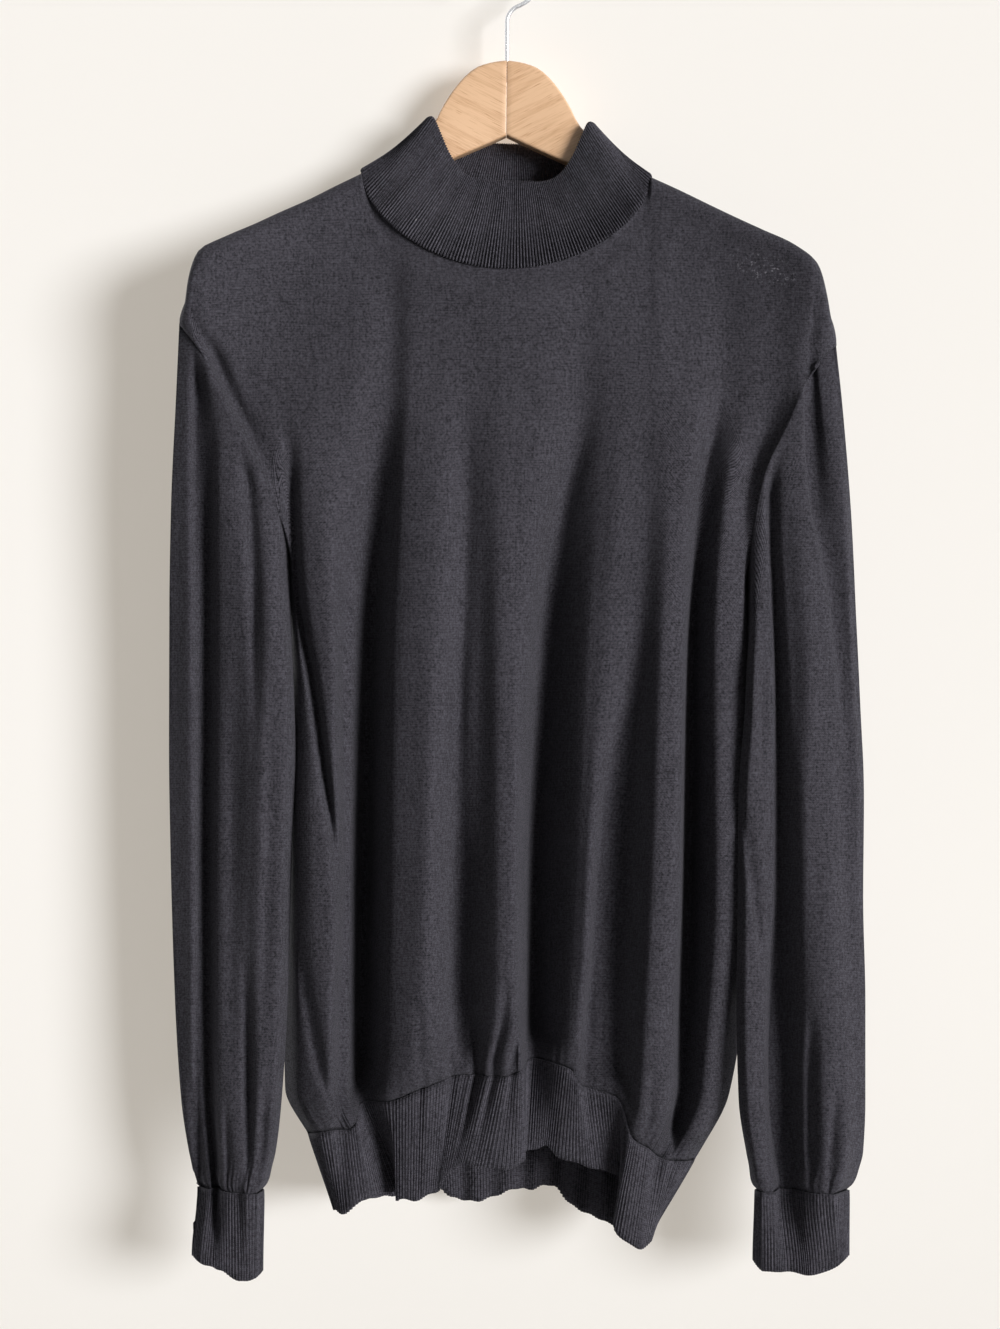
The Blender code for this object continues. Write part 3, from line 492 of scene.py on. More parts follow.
# plain knit hangs straight: measured level across the cloth from its middle, and down by drop
def plainMap(points, closed):
    if closed:
        points = np.concatenate([points, points[:, :1]], axis=1)
    steps = np.linalg.norm(np.diff(points[..., :2], axis=1), axis=-1)
    across = np.concatenate([np.zeros((len(points), 1)), np.cumsum(steps, axis=1)], axis=1)
    middle = across.shape[1] // 2
    return across - across[:, middle : middle + 1], woodTop - points[..., 2]


# ribs follow the columns, and are measured down the cloth
def ribMap(points, along):
    steps = np.linalg.norm(np.diff(points, axis=0, append=points[:1]), axis=-1)
    down = np.concatenate([[0.0], np.cumsum(np.median(steps, axis=1))])
    return along[None, :], down[:, None]


def selectOnly(piece):
    bpy.ops.object.select_all(action="DESELECT")
    bpy.context.view_layer.objects.active = piece
    piece.select_set(True)


def addWall(piece, thickness):
    selectOnly(piece)
    wall = piece.modifiers.new("wall", "SOLIDIFY")
    wall.thickness = thickness * 0.001
    wall.offset = -1.0
    bpy.ops.object.modifier_apply(modifier="wall")
    piece.data.shade_smooth()


def finishPiece(piece, node, material):
    piece.data.materials.clear()
    piece.data.materials.append(material)
    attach(piece, "root")
    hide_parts(node)
    piece.data.calc_loop_triangles()
    print(piece.name, len(piece.data.loop_triangles), "triangles")


# shader helpers: one node group per effect, used by several materials
class NodeSheet:
    def __init__(self, tree):
        self.tree = tree

    # a node with its settings, and the values or links of its inputs by name or number
    def add(self, kind, inputs=(), **settings):
        node = self.tree.nodes.new(kind)
        for key, value in settings.items():
            setattr(node, key, value)
        self.fill(node, inputs)
        return node

    def fill(self, node, inputs):
        for key, value in dict(inputs).items():
            if isinstance(value, bpy.types.NodeSocket):
                self.tree.links.new(value, node.inputs[key])
            else:
                node.inputs[key].default_value = value

    def sum(self, operation, *values):
        return self.add("ShaderNodeMath", enumerate(values), operation=operation).outputs[0]

    def noise(self, vector, scale, detail=2.0, roughness=0.5):
        inputs = {"Vector": vector, "Scale": scale, "Detail": detail, "Roughness": roughness}
        return self.add("ShaderNodeTexNoise", inputs).outputs["Fac"]

    def remap(self, value, low, high, toLow=0.0, toHigh=1.0):
        inputs = {"Value": value, "From Min": low, "From Max": high, "To Min": toLow, "To Max": toHigh}
        return self.add("ShaderNodeMapRange", inputs).outputs["Result"]

    def blend(self, share, first, second):
        inputs = {"Factor": share, 6: first, 7: second}
        return self.add("ShaderNodeMix", inputs, data_type="RGBA").outputs[2]

    def bump(self, shader, height, distance):
        node = self.add("ShaderNodeBump", {"Height": height, "Distance": distance})
        self.fill(shader, {"Normal": node.outputs[0]})


def newGroup(name, inputs, outputs):
    tree = bpy.data.node_groups.new(name, "ShaderNodeTree")
    for label, kind in inputs:
        tree.interface.new_socket(label, in_out="INPUT", socket_type=kind)
    for label, kind in outputs:
        tree.interface.new_socket(label, in_out="OUTPUT", socket_type=kind)
    sheet = NodeSheet(tree)
    return sheet, sheet.add("NodeGroupInput"), sheet.add("NodeGroupOutput")


# a new material, with its nodes and its shader
def newMaterial(name):
    material = bpy.data.materials.new(name)
    material.use_nodes = True
    return material, NodeSheet(material.node_tree), material.node_tree.nodes["Principled BSDF"]


# knitted stitches: V shapes stacked in wales, read from the stitch map in mm
def stitchGroup():
    sheet, given, result = newGroup(
        "knitStitches",
        [("Stitches", "NodeSocketVector"), ("Wale", "NodeSocketFloat"), ("Course", "NodeSocketFloat")],
        [("Height", "NodeSocketFloat"), ("Streak", "NodeSocketFloat")],
    )
    split = sheet.add("ShaderNodeSeparateXYZ", {0: given.outputs["Stitches"]})
    wale = sheet.sum("DIVIDE", split.outputs["X"], given.outputs["Wale"])
    course = sheet.sum("DIVIDE", split.outputs["Y"], given.outputs["Course"])
    across = sheet.sum("FRACT", wale)
    side = sheet.sum("MULTIPLY", sheet.sum("ABSOLUTE", sheet.sum("SUBTRACT", across, 0.5)), 2.0)
    leg = sheet.sum("SINE", sheet.sum("MULTIPLY", side, math.pi))
    leg = sheet.sum("POWER", sheet.sum("MAXIMUM", leg, 0.0), 0.6)
    climb = sheet.sum("FRACT", sheet.sum("ADD", course, sheet.sum("MULTIPLY", side, 0.55)))
    loop = sheet.sum("SINE", sheet.sum("MULTIPLY", climb, math.pi))
    loop = sheet.sum("POWER", sheet.sum("MAXIMUM", loop, 0.0), 0.7)
    height = sheet.sum("MULTIPLY", leg, sheet.sum("MULTIPLY_ADD", loop, 0.5, 0.5))
    # single wales and single courses are a little lighter or darker than their neighbours
    lengthways = sheet.add("ShaderNodeCombineXYZ", {0: wale, 1: sheet.sum("MULTIPLY", course, 0.07)})
    crossways = sheet.add("ShaderNodeCombineXYZ", {0: sheet.sum("MULTIPLY", wale, 0.12), 1: course})
    streak = sheet.sum("ADD", sheet.noise(lengthways.outputs[0], 1.0), sheet.noise(crossways.outputs[0], 1.0))
    sheet.fill(result, {"Height": height, "Streak": sheet.sum("MULTIPLY", streak, 0.5)})
    return sheet.tree


# heathered wool: fine fibre flecks over slow cloudy change, rare pale specks of lint, painted shade in the
# gaps between stitches, and a rubbed patch painted lighter as a painted highlight
def heatherGroup():
    sheet, given, result = newGroup(
        "woolHeather",
        [
            ("Place", "NodeSocketVector"),
            ("StitchGapShade", "NodeSocketFloat"),
            ("Streak", "NodeSocketFloat"),
            ("Dark", "NodeSocketColor"),
            ("Light", "NodeSocketColor"),
        ],
        [("Color", "NodeSocketColor"), ("Fuzz", "NodeSocketFloat")],
    )
    place = given.outputs["Place"]
    fleck = sheet.noise(place, 620.0, 3.0, 0.75)
    cloud = sheet.noise(place, 18.0, 3.0, 0.55)
    share = sheet.sum("MULTIPLY_ADD", cloud, 0.16, sheet.sum("MULTIPLY", fleck, 1.6))
    share = sheet.sum("MULTIPLY_ADD", given.outputs["Streak"], 0.75, share)
    # painted shade: the colour is darkened in the gaps between stitches, by the stitch height
    share = sheet.sum("MULTIPLY_ADD", given.outputs["StitchGapShade"], 0.7, share)
    share = sheet.remap(share, 1.35, 2.02)
    colour = sheet.blend(share, given.outputs["Dark"], given.outputs["Light"])
    speck = sheet.add("ShaderNodeTexVoronoi", {"Vector": place, "Scale": 34.0})
    lint = sheet.sum("LESS_THAN", speck.outputs["Distance"], 0.03)
    split = sheet.add("ShaderNodeSeparateColor", {0: speck.outputs["Color"]})
    lint = sheet.sum("MULTIPLY", lint, sheet.sum("GREATER_THAN", split.outputs[0], 0.9))
    colour = sheet.blend(sheet.sum("MULTIPLY", lint, 0.3), colour, (0.36, 0.35, 0.35, 1.0))
    # a rubbed patch below the right shoulder, painted lighter: partly worn, pulled yarn, and partly a painted
    # highlight where the pulled stitches catch the light
    where = sheet.add("ShaderNodeMapping", {
        "Vector": place,
        "Location": (0.173, -0.05, woodTop * 0.001 - 0.148),
        "Rotation": (0.0, math.radians(24), 0.0),
        "Scale": (0.03, 0.08, 0.011),
    }, vector_type="TEXTURE")
    reach = sheet.add("ShaderNodeVectorMath", {0: where.outputs[0]}, operation="LENGTH")
    rubbedPatchHighlight = sheet.remap(reach.outputs["Value"], 0.35, 1.0, 1.0, 0.0)
    pulledStitchHighlight = sheet.remap(sheet.noise(place, 480.0, 2.0, 0.6), 0.6, 0.66)
    colour = sheet.blend(
        sheet.sum("MULTIPLY", sheet.sum("MULTIPLY", rubbedPatchHighlight, pulledStitchHighlight), 0.4), colour, (0.42, 0.4, 0.45, 1.0)
    )
    sheet.fill(result, {"Color": colour, "Fuzz": fleck})
    return sheet.tree


stitchTree = stitchGroup()
heatherTree = heatherGroup()


def knitMaterial(name, wale, course, relief, dark, light):
    material, sheet, shader = newMaterial(name)
    knit = sheet.add("ShaderNodeGroup", node_tree=stitchTree)
    stitchMap = sheet.add("ShaderNodeUVMap", uv_map="stitches").outputs[0]
    sheet.fill(knit, {"Stitches": stitchMap, "Wale": wale, "Course": course})
    heather = sheet.add("ShaderNodeGroup", node_tree=heatherTree)
    sheet.fill(heather, {
        "Place": sheet.add("ShaderNodeTexCoord").outputs["Object"],
        "Dark": (*dark, 1.0),
        "Light": (*light, 1.0),
        # the stitch height also goes into the colour, as painted shade in the gaps between stitches
        "StitchGapShade": knit.outputs["Height"],
        "Streak": knit.outputs["Streak"],
    })
    height = sheet.sum("MULTIPLY_ADD", heather.outputs["Fuzz"], 0.5, knit.outputs["Height"])
    sheet.bump(shader, height, relief * 0.001)
    sheet.fill(shader, {
        "Base Color": heather.outputs["Color"],
        "Roughness": 0.92,
        "Specular IOR Level": 0.18,
        "Sheen Weight": 0.05,
        "Sheen Roughness": 0.45,
        "Sheen Tint": (0.75, 0.74, 0.82, 1.0),
    })
    return material


wool = {
    "dark": (0.005, 0.0045, 0.006),
    "light": (0.078, 0.0735, 0.089),
    # width and height of a stitch, and how far it stands out
    "plain": (1.45, 1.15, 0.28),
    "rib": (2.0, 1.3, 0.16),
}
plainKnit = knitMaterial("charcoalPlainKnit", *wool["plain"], wool["dark"], wool["light"])
ribKnit = knitMaterial("charcoalRibKnit", *wool["rib"], wool["dark"], wool["light"])
print("wool ready")


# a slow uneven give in the cloth, made of a few long waves
def unevenness(along, drop, seed, size):
    waves = np.random.default_rng(seed).uniform(0.0, 1.0, (9, 4))
    total = np.zeros(np.broadcast(along, drop).shape)
    for acrossWave, downWave, phase, share in waves:
        turn = along / (24 + 60 * acrossWave) + drop / (220 + 400 * downWave) + phase
        total += (0.4 + share) * np.sin(2 * np.pi * turn)
    return total * size / 4


# how far the cloth is drawn in at a gathered seam, by the distance from it in mm
def gatherDepth(along, rise, seed):
    waves = np.random.default_rng(seed).uniform(0.0, 1.0, (4, 3))
    total = np.zeros(np.broadcast(along, rise).shape)
    for pitch, phase, share in waves:
        total += (0.5 + share) * np.sin(2 * np.pi * (along / (5.5 + 7 * pitch) + phase))
    longWave = np.sin(2 * np.pi * (along / 96 + waves[0, 1]))
    shortWave = np.sin(2 * np.pi * (along / 61 + waves[1, 1]))
    where = 0.5 + 0.5 * longWave * shortWave
    tuck = 1.7 * np.exp(-((rise / 2.6) ** 2)) - 1.0 * np.exp(-(((rise - 8.0) / 6.0) ** 2))
    return tuck + 0.42 * total * where * np.exp(-((rise / 17.0) ** 2)) * ease(rise / 2.0)


def bodyPanel(name, back):
    def line(column):
        return panelPoint(back, column, 0.36)

    columns, along = evenSteps(line, 0.0, float(body["columns"]), body["gridSpacing"])
    low = np.linspace(0.0, 0.12, 36)[:-1]
    middle = np.linspace(0.12, 0.955, body["gridRows"] - 71)
    high = 0.955 + 0.045 * np.sin(np.linspace(0.0, np.pi / 2, 37)[1:])
    heights = np.concatenate([low, middle, high])
    points = panelPoint(back, columns[None, :], heights[:, None])
    drop = woodTop - points[..., 2]
    edge = np.minimum(columns, body["columns"] - columns)[None, :]
    calm = ease(edge / 2.0) * ease((1 - heights[:, None]) / 0.08) * ease(heights[:, None] / 0.02)
    points[..., 1] += unevenness(points[..., 0] * 1.4, drop, 11 + back, 0.5) * calm
    # drawn in at the hem seam, with small uneven gathers over it
    rise = (hemDrop(columns, back)[None, :] - drop).clip(0.0)
    points[..., 1] += (1.0 if not back else -1.0) * gatherDepth(along[None, :], rise, 51 + back)
    # the armhole seams pull the cloth in
    armhole = ease((heights[:, None] - body["underarm"] + 0.02) / 0.04) * ease((1 - heights[:, None]) / 0.05)
    groove = body["seamGroove"] * np.exp(-((edge / 0.2) ** 2)) * armhole
    points[..., 1] += -groove if back else groove
    return clothMesh(name, points, *plainMap(points, False), turned=back)


frontBody = bodyPanel("frontBody", False)
backBody = bodyPanel("backBody", True)
addWall(frontBody, body["wall"])
addWall(backBody, body["wall"])
finishPiece(frontBody, "front_panel", plainKnit)
finishPiece(backBody, "back_panel", plainKnit)

hem = {
    "rib": 2.1,
    "samples": 7,
    "relief": 0.32,
    "proud": 0.25,
    "wall": 1.5,
    "rows": 14,
    "waver": 0.32,
    # the ribs opened out
    "frontCut": (0.5, 0.065, 0.0325),
    "backCut": (0.36, 0.06, 0.0216),
    # column, x, drop, y of the lower edge
    "front": (
        (0.0, -117.5, 779.5, -36.0),
        (2.0, -115.0, 781.0, -46.0),
        (4.0, -109.0, 780.0, -53.0),
        (6.0, -101.0, 776.0, -57.0),
        (8.0, -93.0, 770.0, -56.0),
        (9.4, -82.0, 767.5, -49.0),
        (10.6, -69.0, 767.0, -43.0),  # runs behind the next lobe
        (11.6, -71.0, 769.0, -52.0),
        (12.2, -74.0, 771.0, -58.0),
        (13.0, -68.0, 771.0, -61.0),
        (14.0, -58.0, 769.5, -62.0),
        (15.0, -48.0, 766.0, -60.0),
        (16.0, -41.0, 755.0, -59.0),
        (17.0, -29.0, 747.0, -60.0),
        (18.0, -17.0, 749.0, -62.0),
        (19.0, -5.0, 750.5, -63.0),
        (20.0, 6.0, 747.5, -62.0),
        (20.5, 12.0, 744.5, -57.0),  # a folded edge, the next part lies behind
        (21.2, 11.0, 743.0, -50.0),
        (22.0, 14.0, 741.0, -43.0),
        (23.0, 25.0, 738.0, -43.0),
        (24.0, 35.0, 744.0, -46.0),
        (25.0, 46.0, 749.0, -47.0),
        (26.0, 57.0, 752.0, -46.0),
        (27.3, 70.0, 755.0, -43.0),
        (28.3, 77.0, 762.0, -42.0),
        (29.2, 73.0, 778.0, -52.0),
        (29.8, 71.0, 788.0, -58.0),
        (30.8, 77.0, 797.0, -61.0),
        (32.0, 84.0, 802.0, -60.0),
        (33.5, 90.0, 804.0, -56.0),
        (35.0, 94.0, 803.0, -50.0),
        (36.5, 97.0, 800.0, -43.0),
        (38.0, 97.0, 798.0, -36.0),
    ),
    "back": (
        (0.0, -117.5, 779.5, -36.0),
        (4.0, -98.0, 779.0, -14.0),
        (8.0, -72.0, 776.0, -6.0),
        (11.0, -52.0, 771.0, 2.0),
        (13.0, -37.0, 781.0, 6.0),
        (16.0, -20.0, 783.0, 2.0),
        (19.0, 1.0, 775.0, -1.0),
        (21.5, 16.0, 774.0, 3.0),
        (24.0, 32.0, 773.0, 6.0),
        (26.0, 45.0, 786.0, 3.0),
        (29.0, 62.0, 793.0, -4.0),
        (34.0, 82.0, 799.0, -14.0),
        (38.0, 97.0, 798.0, -36.0),
    ),
}


# a knitted lower edge is never quite even
def edgeWaver(along, seed):
    waves = np.random.default_rng(seed).uniform(0.0, 1.0, (5, 3))
    total = sum(
        (0.4 + share) * np.sin(2 * np.pi * (along / (12 + 26 * pitch) + phase))
        for pitch, phase, share in waves
    )
    return hem["waver"] * total


# a point of a hem rib: fall is 0 at the seam and 1 at the lower edge
def ribPoint(back, column, fall):
    column, fall = np.broadcast_arrays(np.asarray(column, float), np.asarray(fall, float))
    table = hem["back" if back else "front"]
    seam = panelPoint(back, column, 0.0)
    edge = point(read(table, 1, column), read(table, 3, column), read(table, 2, column))
    result = mix(seam, edge, fall[..., None])
    result[..., 1] = mix(seam[..., 1], edge[..., 1], ease(fall))
    return result


# ribs stand on the surface and run from seam to edge
def corrugate(points, along, pitch, relief, facing, fadeRows):
    wave = 0.5 + 0.5 * np.cos(2 * np.pi * along[None, : points.shape[1]] / pitch)
    wave = wave**0.7 - 0.5
    return points + facing * (relief * wave * fadeRows[:, None])[..., None]


def hemRib(name, back):
    def line(column):
        return ribPoint(back, column, 0.35)

    columns, along = evenSteps(line, 0.0, float(body["columns"]), hem["rib"] / hem["samples"])
    falls = np.linspace(0.0, 1.0, hem["rows"])
    points = ribPoint(back, columns[None, :], falls[:, None])
    facing = outward(points, False) * (-1.0 if not back else 1.0)
    points = points + facing * hem["proud"]
    points = corrugate(points, along, hem["rib"], hem["relief"] * 2, facing, 0.35 + 0.65 * ease(falls / 0.12))
    points[..., 2] -= edgeWaver(along, 91 + back)[None, :] * ease((falls[:, None] - 0.5) * 2)
    across, down = ribMap(points, along)
    return clothMesh(name, points, across, down[:-1], turned=not back)


frontRib = hemRib("frontHemRib", False)
backRib = hemRib("backHemRib", True)
addWall(frontRib, hem["wall"])
addWall(backRib, hem["wall"])
finishPiece(frontRib, "front_hem_rib", ribKnit)
finishPiece(backRib, "back_hem_rib", ribKnit)
print("body done")

sleeve = {
    "around": 18,
    "gridSpacing": 1.35,
    "cuffDrop": 766.0,
    "spread": 0.35,
    "deepen": 0.22,
    "levels": (260.0, 450.0, 700.0),
    "cut": (0.24, 0.58, 0.11),
    # drop, x of the outer edge, x of the inner edge
    "leftEdges": (
        (186.0, -220.0, -141.0),
        (240.0, -222.5, -141.0),
        (310.0, -226.0, -141.0),
        (375.0, -227.5, -140.0),
        (470.0, -228.0, -141.0),
        (540.0, -227.0, -144.0),
        (640.0, -224.0, -147.0),
        (705.0, -220.0, -151.0),
        (740.0, -215.0, -155.0),
        (766.0, -208.5, -163.0),
    ),
    "rightEdges": (
        (200.0, 221.0, 163.0),
        (240.0, 225.0, 163.0),
        (310.0, 230.5, 163.0),
        (375.0, 234.0, 162.5),
        (440.0, 237.0, 159.5),
        (505.0, 239.0, 154.5),
        (570.0, 238.5, 154.0),
        (640.0, 240.0, 153.5),
        (705.0, 240.0, 155.0),
        (740.0, 238.5, 160.0),
        (766.0, 229.0, 166.0),
    ),
    # place round, share of the width from the outer edge, y at each level
    "leftFolds": (
        (0.0, 0.0, (-46.0, -37.0, -37.0)),
        (1.0, 0.07, (-49.0, -41.0, -41.0)),
        (2.0, 0.2, (-53.0, -49.0, -48.0)),
        (3.0, 0.29, (-46.0, -40.0, -40.0)),
        (4.0, 0.4, (-60.0, -51.0, -56.0)),
        (5.0, 0.54, (-63.0, -57.0, -61.0)),
        (6.0, 0.66, (-60.0, -64.0, -62.0)),
        (7.0, 0.79, (-61.0, -70.0, -67.0)),
        (8.0, 0.92, (-57.0, -68.0, -66.0)),
        (9.0, 1.0, (-44.0, -52.0, -50.0)),
        (10.0, 0.92, (-34.0, -39.0, -40.0)),
        (12.0, 0.7, (-30.0, -33.0, -34.0)),
        (14.0, 0.45, (-32.0, -33.0, -33.0)),
        (16.0, 0.2, (-29.0, -27.0, -28.0)),
        (17.0, 0.08, (-36.0, -29.0, -30.0)),
        (18.0, 0.0, (-46.0, -38.0, -38.0)),
    ),
    "rightFolds": (
        (0.0, 0.0, (-48.0, -50.0, -50.0)),
        (1.0, 0.07, (-55.0, -58.0, -56.0)),
        (2.0, 0.2, (-57.0, -61.0, -67.0)),
        (3.0, 0.34, (-59.0, -65.0, -66.0)),
        (4.0, 0.47, (-60.0, -68.0, -60.0)),
        (5.0, 0.6, (-57.0, -62.0, -48.0)),
        (6.0, 0.72, (-54.0, -57.0, -45.0)),
        (7.0, 0.81, (-57.0, -62.0, -58.0)),
        (8.0, 0.93, (-57.0, -65.0, -61.0)),
        (9.0, 1.0, (-44.0, -52.0, -50.0)),
        (10.0, 0.92, (-34.0, -39.0, -40.0)),
        (12.0, 0.7, (-30.0, -35.0, -36.0)),
        (14.0, 0.45, (-34.0, -40.0, -40.0)),
        (16.0, 0.2, (-32.0, -35.0, -36.0)),
        (17.0, 0.08, (-38.0, -38.0, -40.0)),
        (18.0, 0.0, (-48.0, -50.0, -50.0)),
    ),
    "leftCreases": (
        ((180, -210, 0, 4, 6), (200, -208, 8, 3, 7), (225, -208, 11, 3, 9), (262, -209, 11, 2.5, 10),
         (300, -209, 9, 2.5, 9), (430, -208, 7, 2.5, 10), (560, -207, 7, 2.5, 10), (680, -208, 6, 2.5, 9),
         (750, -206, 4, 3, 7), (763, -204, 1, 5, 6)),
        even(3.5, 6, (262, -178, 0), (290, -174, 6), (330, -171, 7), (370, -169, 6), (420, -168, 3),
             (470, -166, 0)),
        even(2.6, 5, (600, -175, 0), (650, -174, 4), (700, -173, 6), (758, -172, 3)),
        even(2.6, 4, (680, -213, 0), (730, -210, 4), (763, -206, 2)),
        even(2.4, 4, (700, -188, 0), (735, -187, 3.4), (763, -186, 2)),
        even(2.6, 4, (680, -160, 0), (725, -163, 4), (763, -166, 2)),
        even(4, 6, (400, -157, 0), (500, -158, 2.4), (600, -161, 2.6), (690, -163, 0)),
        even(5, 8, (430, -186, 0), (520, -183, 2.2), (640, -184, 2), (700, -184, 0)),
    ),
    "rightCreases": (
        ((240, 185, 0, 3, 4), (262, 181, 5, 3, 4), (290, 176, 8, 3, 5), (330, 177, 8, 3, 4),
         (363, 179, 8, 3, 3.5), (430, 181, 9, 2.5, 4), (500, 182, 11, 3, 8), (560, 182, 12, 3, 11),
         (620, 180, 12, 4, 14), (680, 178, 12, 4, 18), (740, 180, 8, 4, 12), (762, 182, 2, 4, 8)),
        even(8, 8, (440, 228, 0), (500, 227, 3), (600, 227, 4), (680, 225, 4), (740, 224, 0)),
        even(2.8, 5, (640, 203, 0), (690, 202, 5), (730, 202, 5.5), (762, 203, 2)),
        even(2.4, 4, (690, 219, 0), (730, 216, 3.4), (763, 213, 2)),
        even(2.6, 5, (500, 156, 0), (535, 160, 3.4), (580, 166, 3.6), (640, 174, 0)),
        even(2.4, 4, (690, 172, 0), (730, 174, 3.4), (763, 176, 2)),
        even(3, 5, (370, 171, 0), (440, 170, 2.4), (520, 171, 0)),
    ),
    # pressed in along the surface's own normal, where it turns away at the right sleeve's head
    "rightHeadCreases": (
        even(3.5, 11, (180, 203, 0), (210, 204, 9), (262, 204, 11), (300, 206, 10), (345, 214, 7),
             (375, 219, 6), (430, 224, 4), (480, 228, 0)),
    ),
}


# where a sleeve is sewn on: the front panel's edge, then back along the back panel's
def sleeveSeam(right, around):
    back = around > sleeve["around"] / 2
    step = np.where(back, sleeve["around"] - around, around)
    places = np.arange(len(body["armholeRows"]))
    height = through(places, body["armholeRows"][::-1], step)
    column = float(body["columns"]) if right else 0.0
    front = panelPoint(False, column, height)
    return np.where(back[..., None], panelPoint(True, column, height), front)


# a point of a sleeve: fall is 0 at the armhole and 1 at the cuff
def sleevePoint(right, around, fall):
    around, fall = np.broadcast_arrays(np.asarray(around, float), np.asarray(fall, float))
    edges = sleeve["rightEdges" if right else "leftEdges"]
    folds = sleeve["rightFolds" if right else "leftFolds"]
    seam = sleeveSeam(right, around)
    seamDrop = woodTop - seam[..., 2]
    drop = mix(seamDrop, sleeve["cuffDrop"], fall)
    outer, inner = read(edges, 1, seamDrop), read(edges, 2, seamDrop)
    seamShare = (seam[..., 0] - outer) / (inner - outer)
    share = mix(seamShare, read(folds, 1, around), ease(fall / sleeve["spread"]))
    depths = np.stack([through(sleeve["levels"], row[2], drop) for row in folds], axis=-1)
    depth = through([row[0] for row in folds], depths, around)
    x = mix(read(edges, 1, drop), read(edges, 2, drop), share)
    return point(x, mix(seam[..., 1], depth, ease(fall / sleeve["deepen"])), drop)


def makeSleeve(name, right):
    def line(around):
        return sleevePoint(right, around, 0.5)

    arounds, along = evenSteps(line, 0.0, float(sleeve["around"]), sleeve["gridSpacing"])
    arounds = arounds[:-1]
    falls = np.concatenate([
        np.linspace(0.0, 0.1, 26)[:-1],
        np.linspace(0.1, 0.9, 100)[:-1],
        np.linspace(0.9, 1.0, 32),
    ])
    points = sleevePoint(right, arounds[None, :], falls[:, None])
    drop = woodTop - points[..., 2]
    half = sleeve["around"] / 2
    inFront = ease((half - np.abs(arounds - half / 2) * 2.0) / 1.5 + 0.5)[None, :]
    calm = ease(falls / 0.05)[:, None] * ease((1 - falls) / 0.02 + 0.4)[:, None]
    creases = sleeve["rightCreases" if right else "leftCreases"]
    facing = outward(points, True) * (1.0 if right else -1.0)
    headCreases = sleeve["rightHeadCreases"] if right else ()
    points = points - facing * (creaseDepth(headCreases, points[..., 0], drop) * inFront)[..., None]
    points[..., 1] += creaseDepth(creases, points[..., 0], drop) * inFront * calm
    points[..., 1] += unevenness(along[None, :-1], drop, 31 + right, 0.4) * calm
    facing = outward(points, True) * (1.0 if right else -1.0)
    points -= facing * gatherDepth(along[None, :-1], sleeve["cuffDrop"] - drop, 71 + right)[..., None]
    # the same seam, from the sleeve's side
    groove = body["seamGroove"] * np.exp(-((falls / 0.005) ** 2))[:, None]
    points[..., 1] += groove * np.sin(2 * np.pi * arounds / sleeve["around"])[None, :]
    return clothMesh(name, points, *plainMap(points, True), closed=True, turned=not right)


cuff = {
    "rib": 2.1,
    "samples": 8,
    "rows": 14,
    "relief": 0.32,
    "proud": 0.25,
    "wall": 1.5,
    "cut": (0.17, 0.055, 0.00935),
    # place round, x, y, drop of the lower edge
    "left": (
        (0.0, -211.0, -48.0, 810.0),
        (2.0, -203.0, -59.0, 814.0),
        (4.0, -190.0, -60.0, 818.0),
        (6.0, -178.0, -60.0, 825.0),
        (8.0, -168.0, -57.0, 824.0),
        (9.0, -164.0, -48.0, 820.0),
        (11.0, -170.0, -40.0, 823.0),
        (14.0, -189.0, -38.0, 818.0),
        (17.0, -208.0, -42.0, 811.0),
        (18.0, -211.0, -48.0, 810.0),
    ),
    "right": (
        (0.0, 229.0, -48.0, 810.0),
        (2.0, 220.0, -59.0, 815.0),
        (4.0, 203.0, -61.0, 821.0),
        (6.0, 187.0, -58.0, 819.0),
        (7.0, 179.0, -60.0, 819.0),
        (8.0, 171.0, -58.0, 819.0),
        (9.0, 165.0, -48.0, 813.0),
        (11.0, 173.0, -40.0, 818.0),
        (14.0, 198.0, -38.0, 820.0),
        (17.0, 225.0, -42.0, 812.0),
        (18.0, 229.0, -48.0, 810.0),
    ),
}


def cuffPoint(right, around, fall):
    around, fall = np.broadcast_arrays(np.asarray(around, float), np.asarray(fall, float))
    table = cuff["right" if right else "left"]
    seam = sleevePoint(right, around, 1.0)
    edge = point(read(table, 1, around), read(table, 2, around), read(table, 3, around))
    result = mix(seam, edge, ease(fall)[..., None])
    result[..., 2] = mix(seam[..., 2], edge[..., 2], fall)
    return result


def makeCuff(name, right):
    def line(around):
        return cuffPoint(right, around, 0.4)

    arounds, along = evenSteps(line, 0.0, float(sleeve["around"]), cuff["rib"] / cuff["samples"])
    ribs = round(along[-1] / cuff["rib"])
    arounds = arounds[:-1]
    falls = np.linspace(0.0, 1.0, cuff["rows"])
    points = cuffPoint(right, arounds[None, :], falls[:, None])
    facing = outward(points, True) * (-1.0 if not right else 1.0)
    points = points + facing * cuff["proud"]
    pitch = along[-1] / ribs
    points = corrugate(points, along, pitch, cuff["relief"] * 2, facing, 0.35 + 0.65 * ease(falls / 0.12))
    waver = edgeWaver(along[:-1], 97 + right) * np.sin(np.pi * along[:-1] / along[-1]).clip(0.0) ** 0.3
    points[..., 2] -= waver[None, :] * ease((falls[:, None] - 0.5) * 2)
    across, down = ribMap(points, along)
    return clothMesh(name, points, across, down[:-1], closed=True, turned=not right)


for word, right in (("left", False), ("right", True)):
    piece = makeSleeve("sleeve" + word.capitalize(), right)
    addWall(piece, body["wall"])
    finishPiece(piece, "sleeve_" + word, plainKnit)
    band = makeCuff("cuff" + word.capitalize(), right)
    addWall(band, cuff["wall"])
    finishPiece(band, "cuff_" + word, ribKnit)
print("sleeves done")

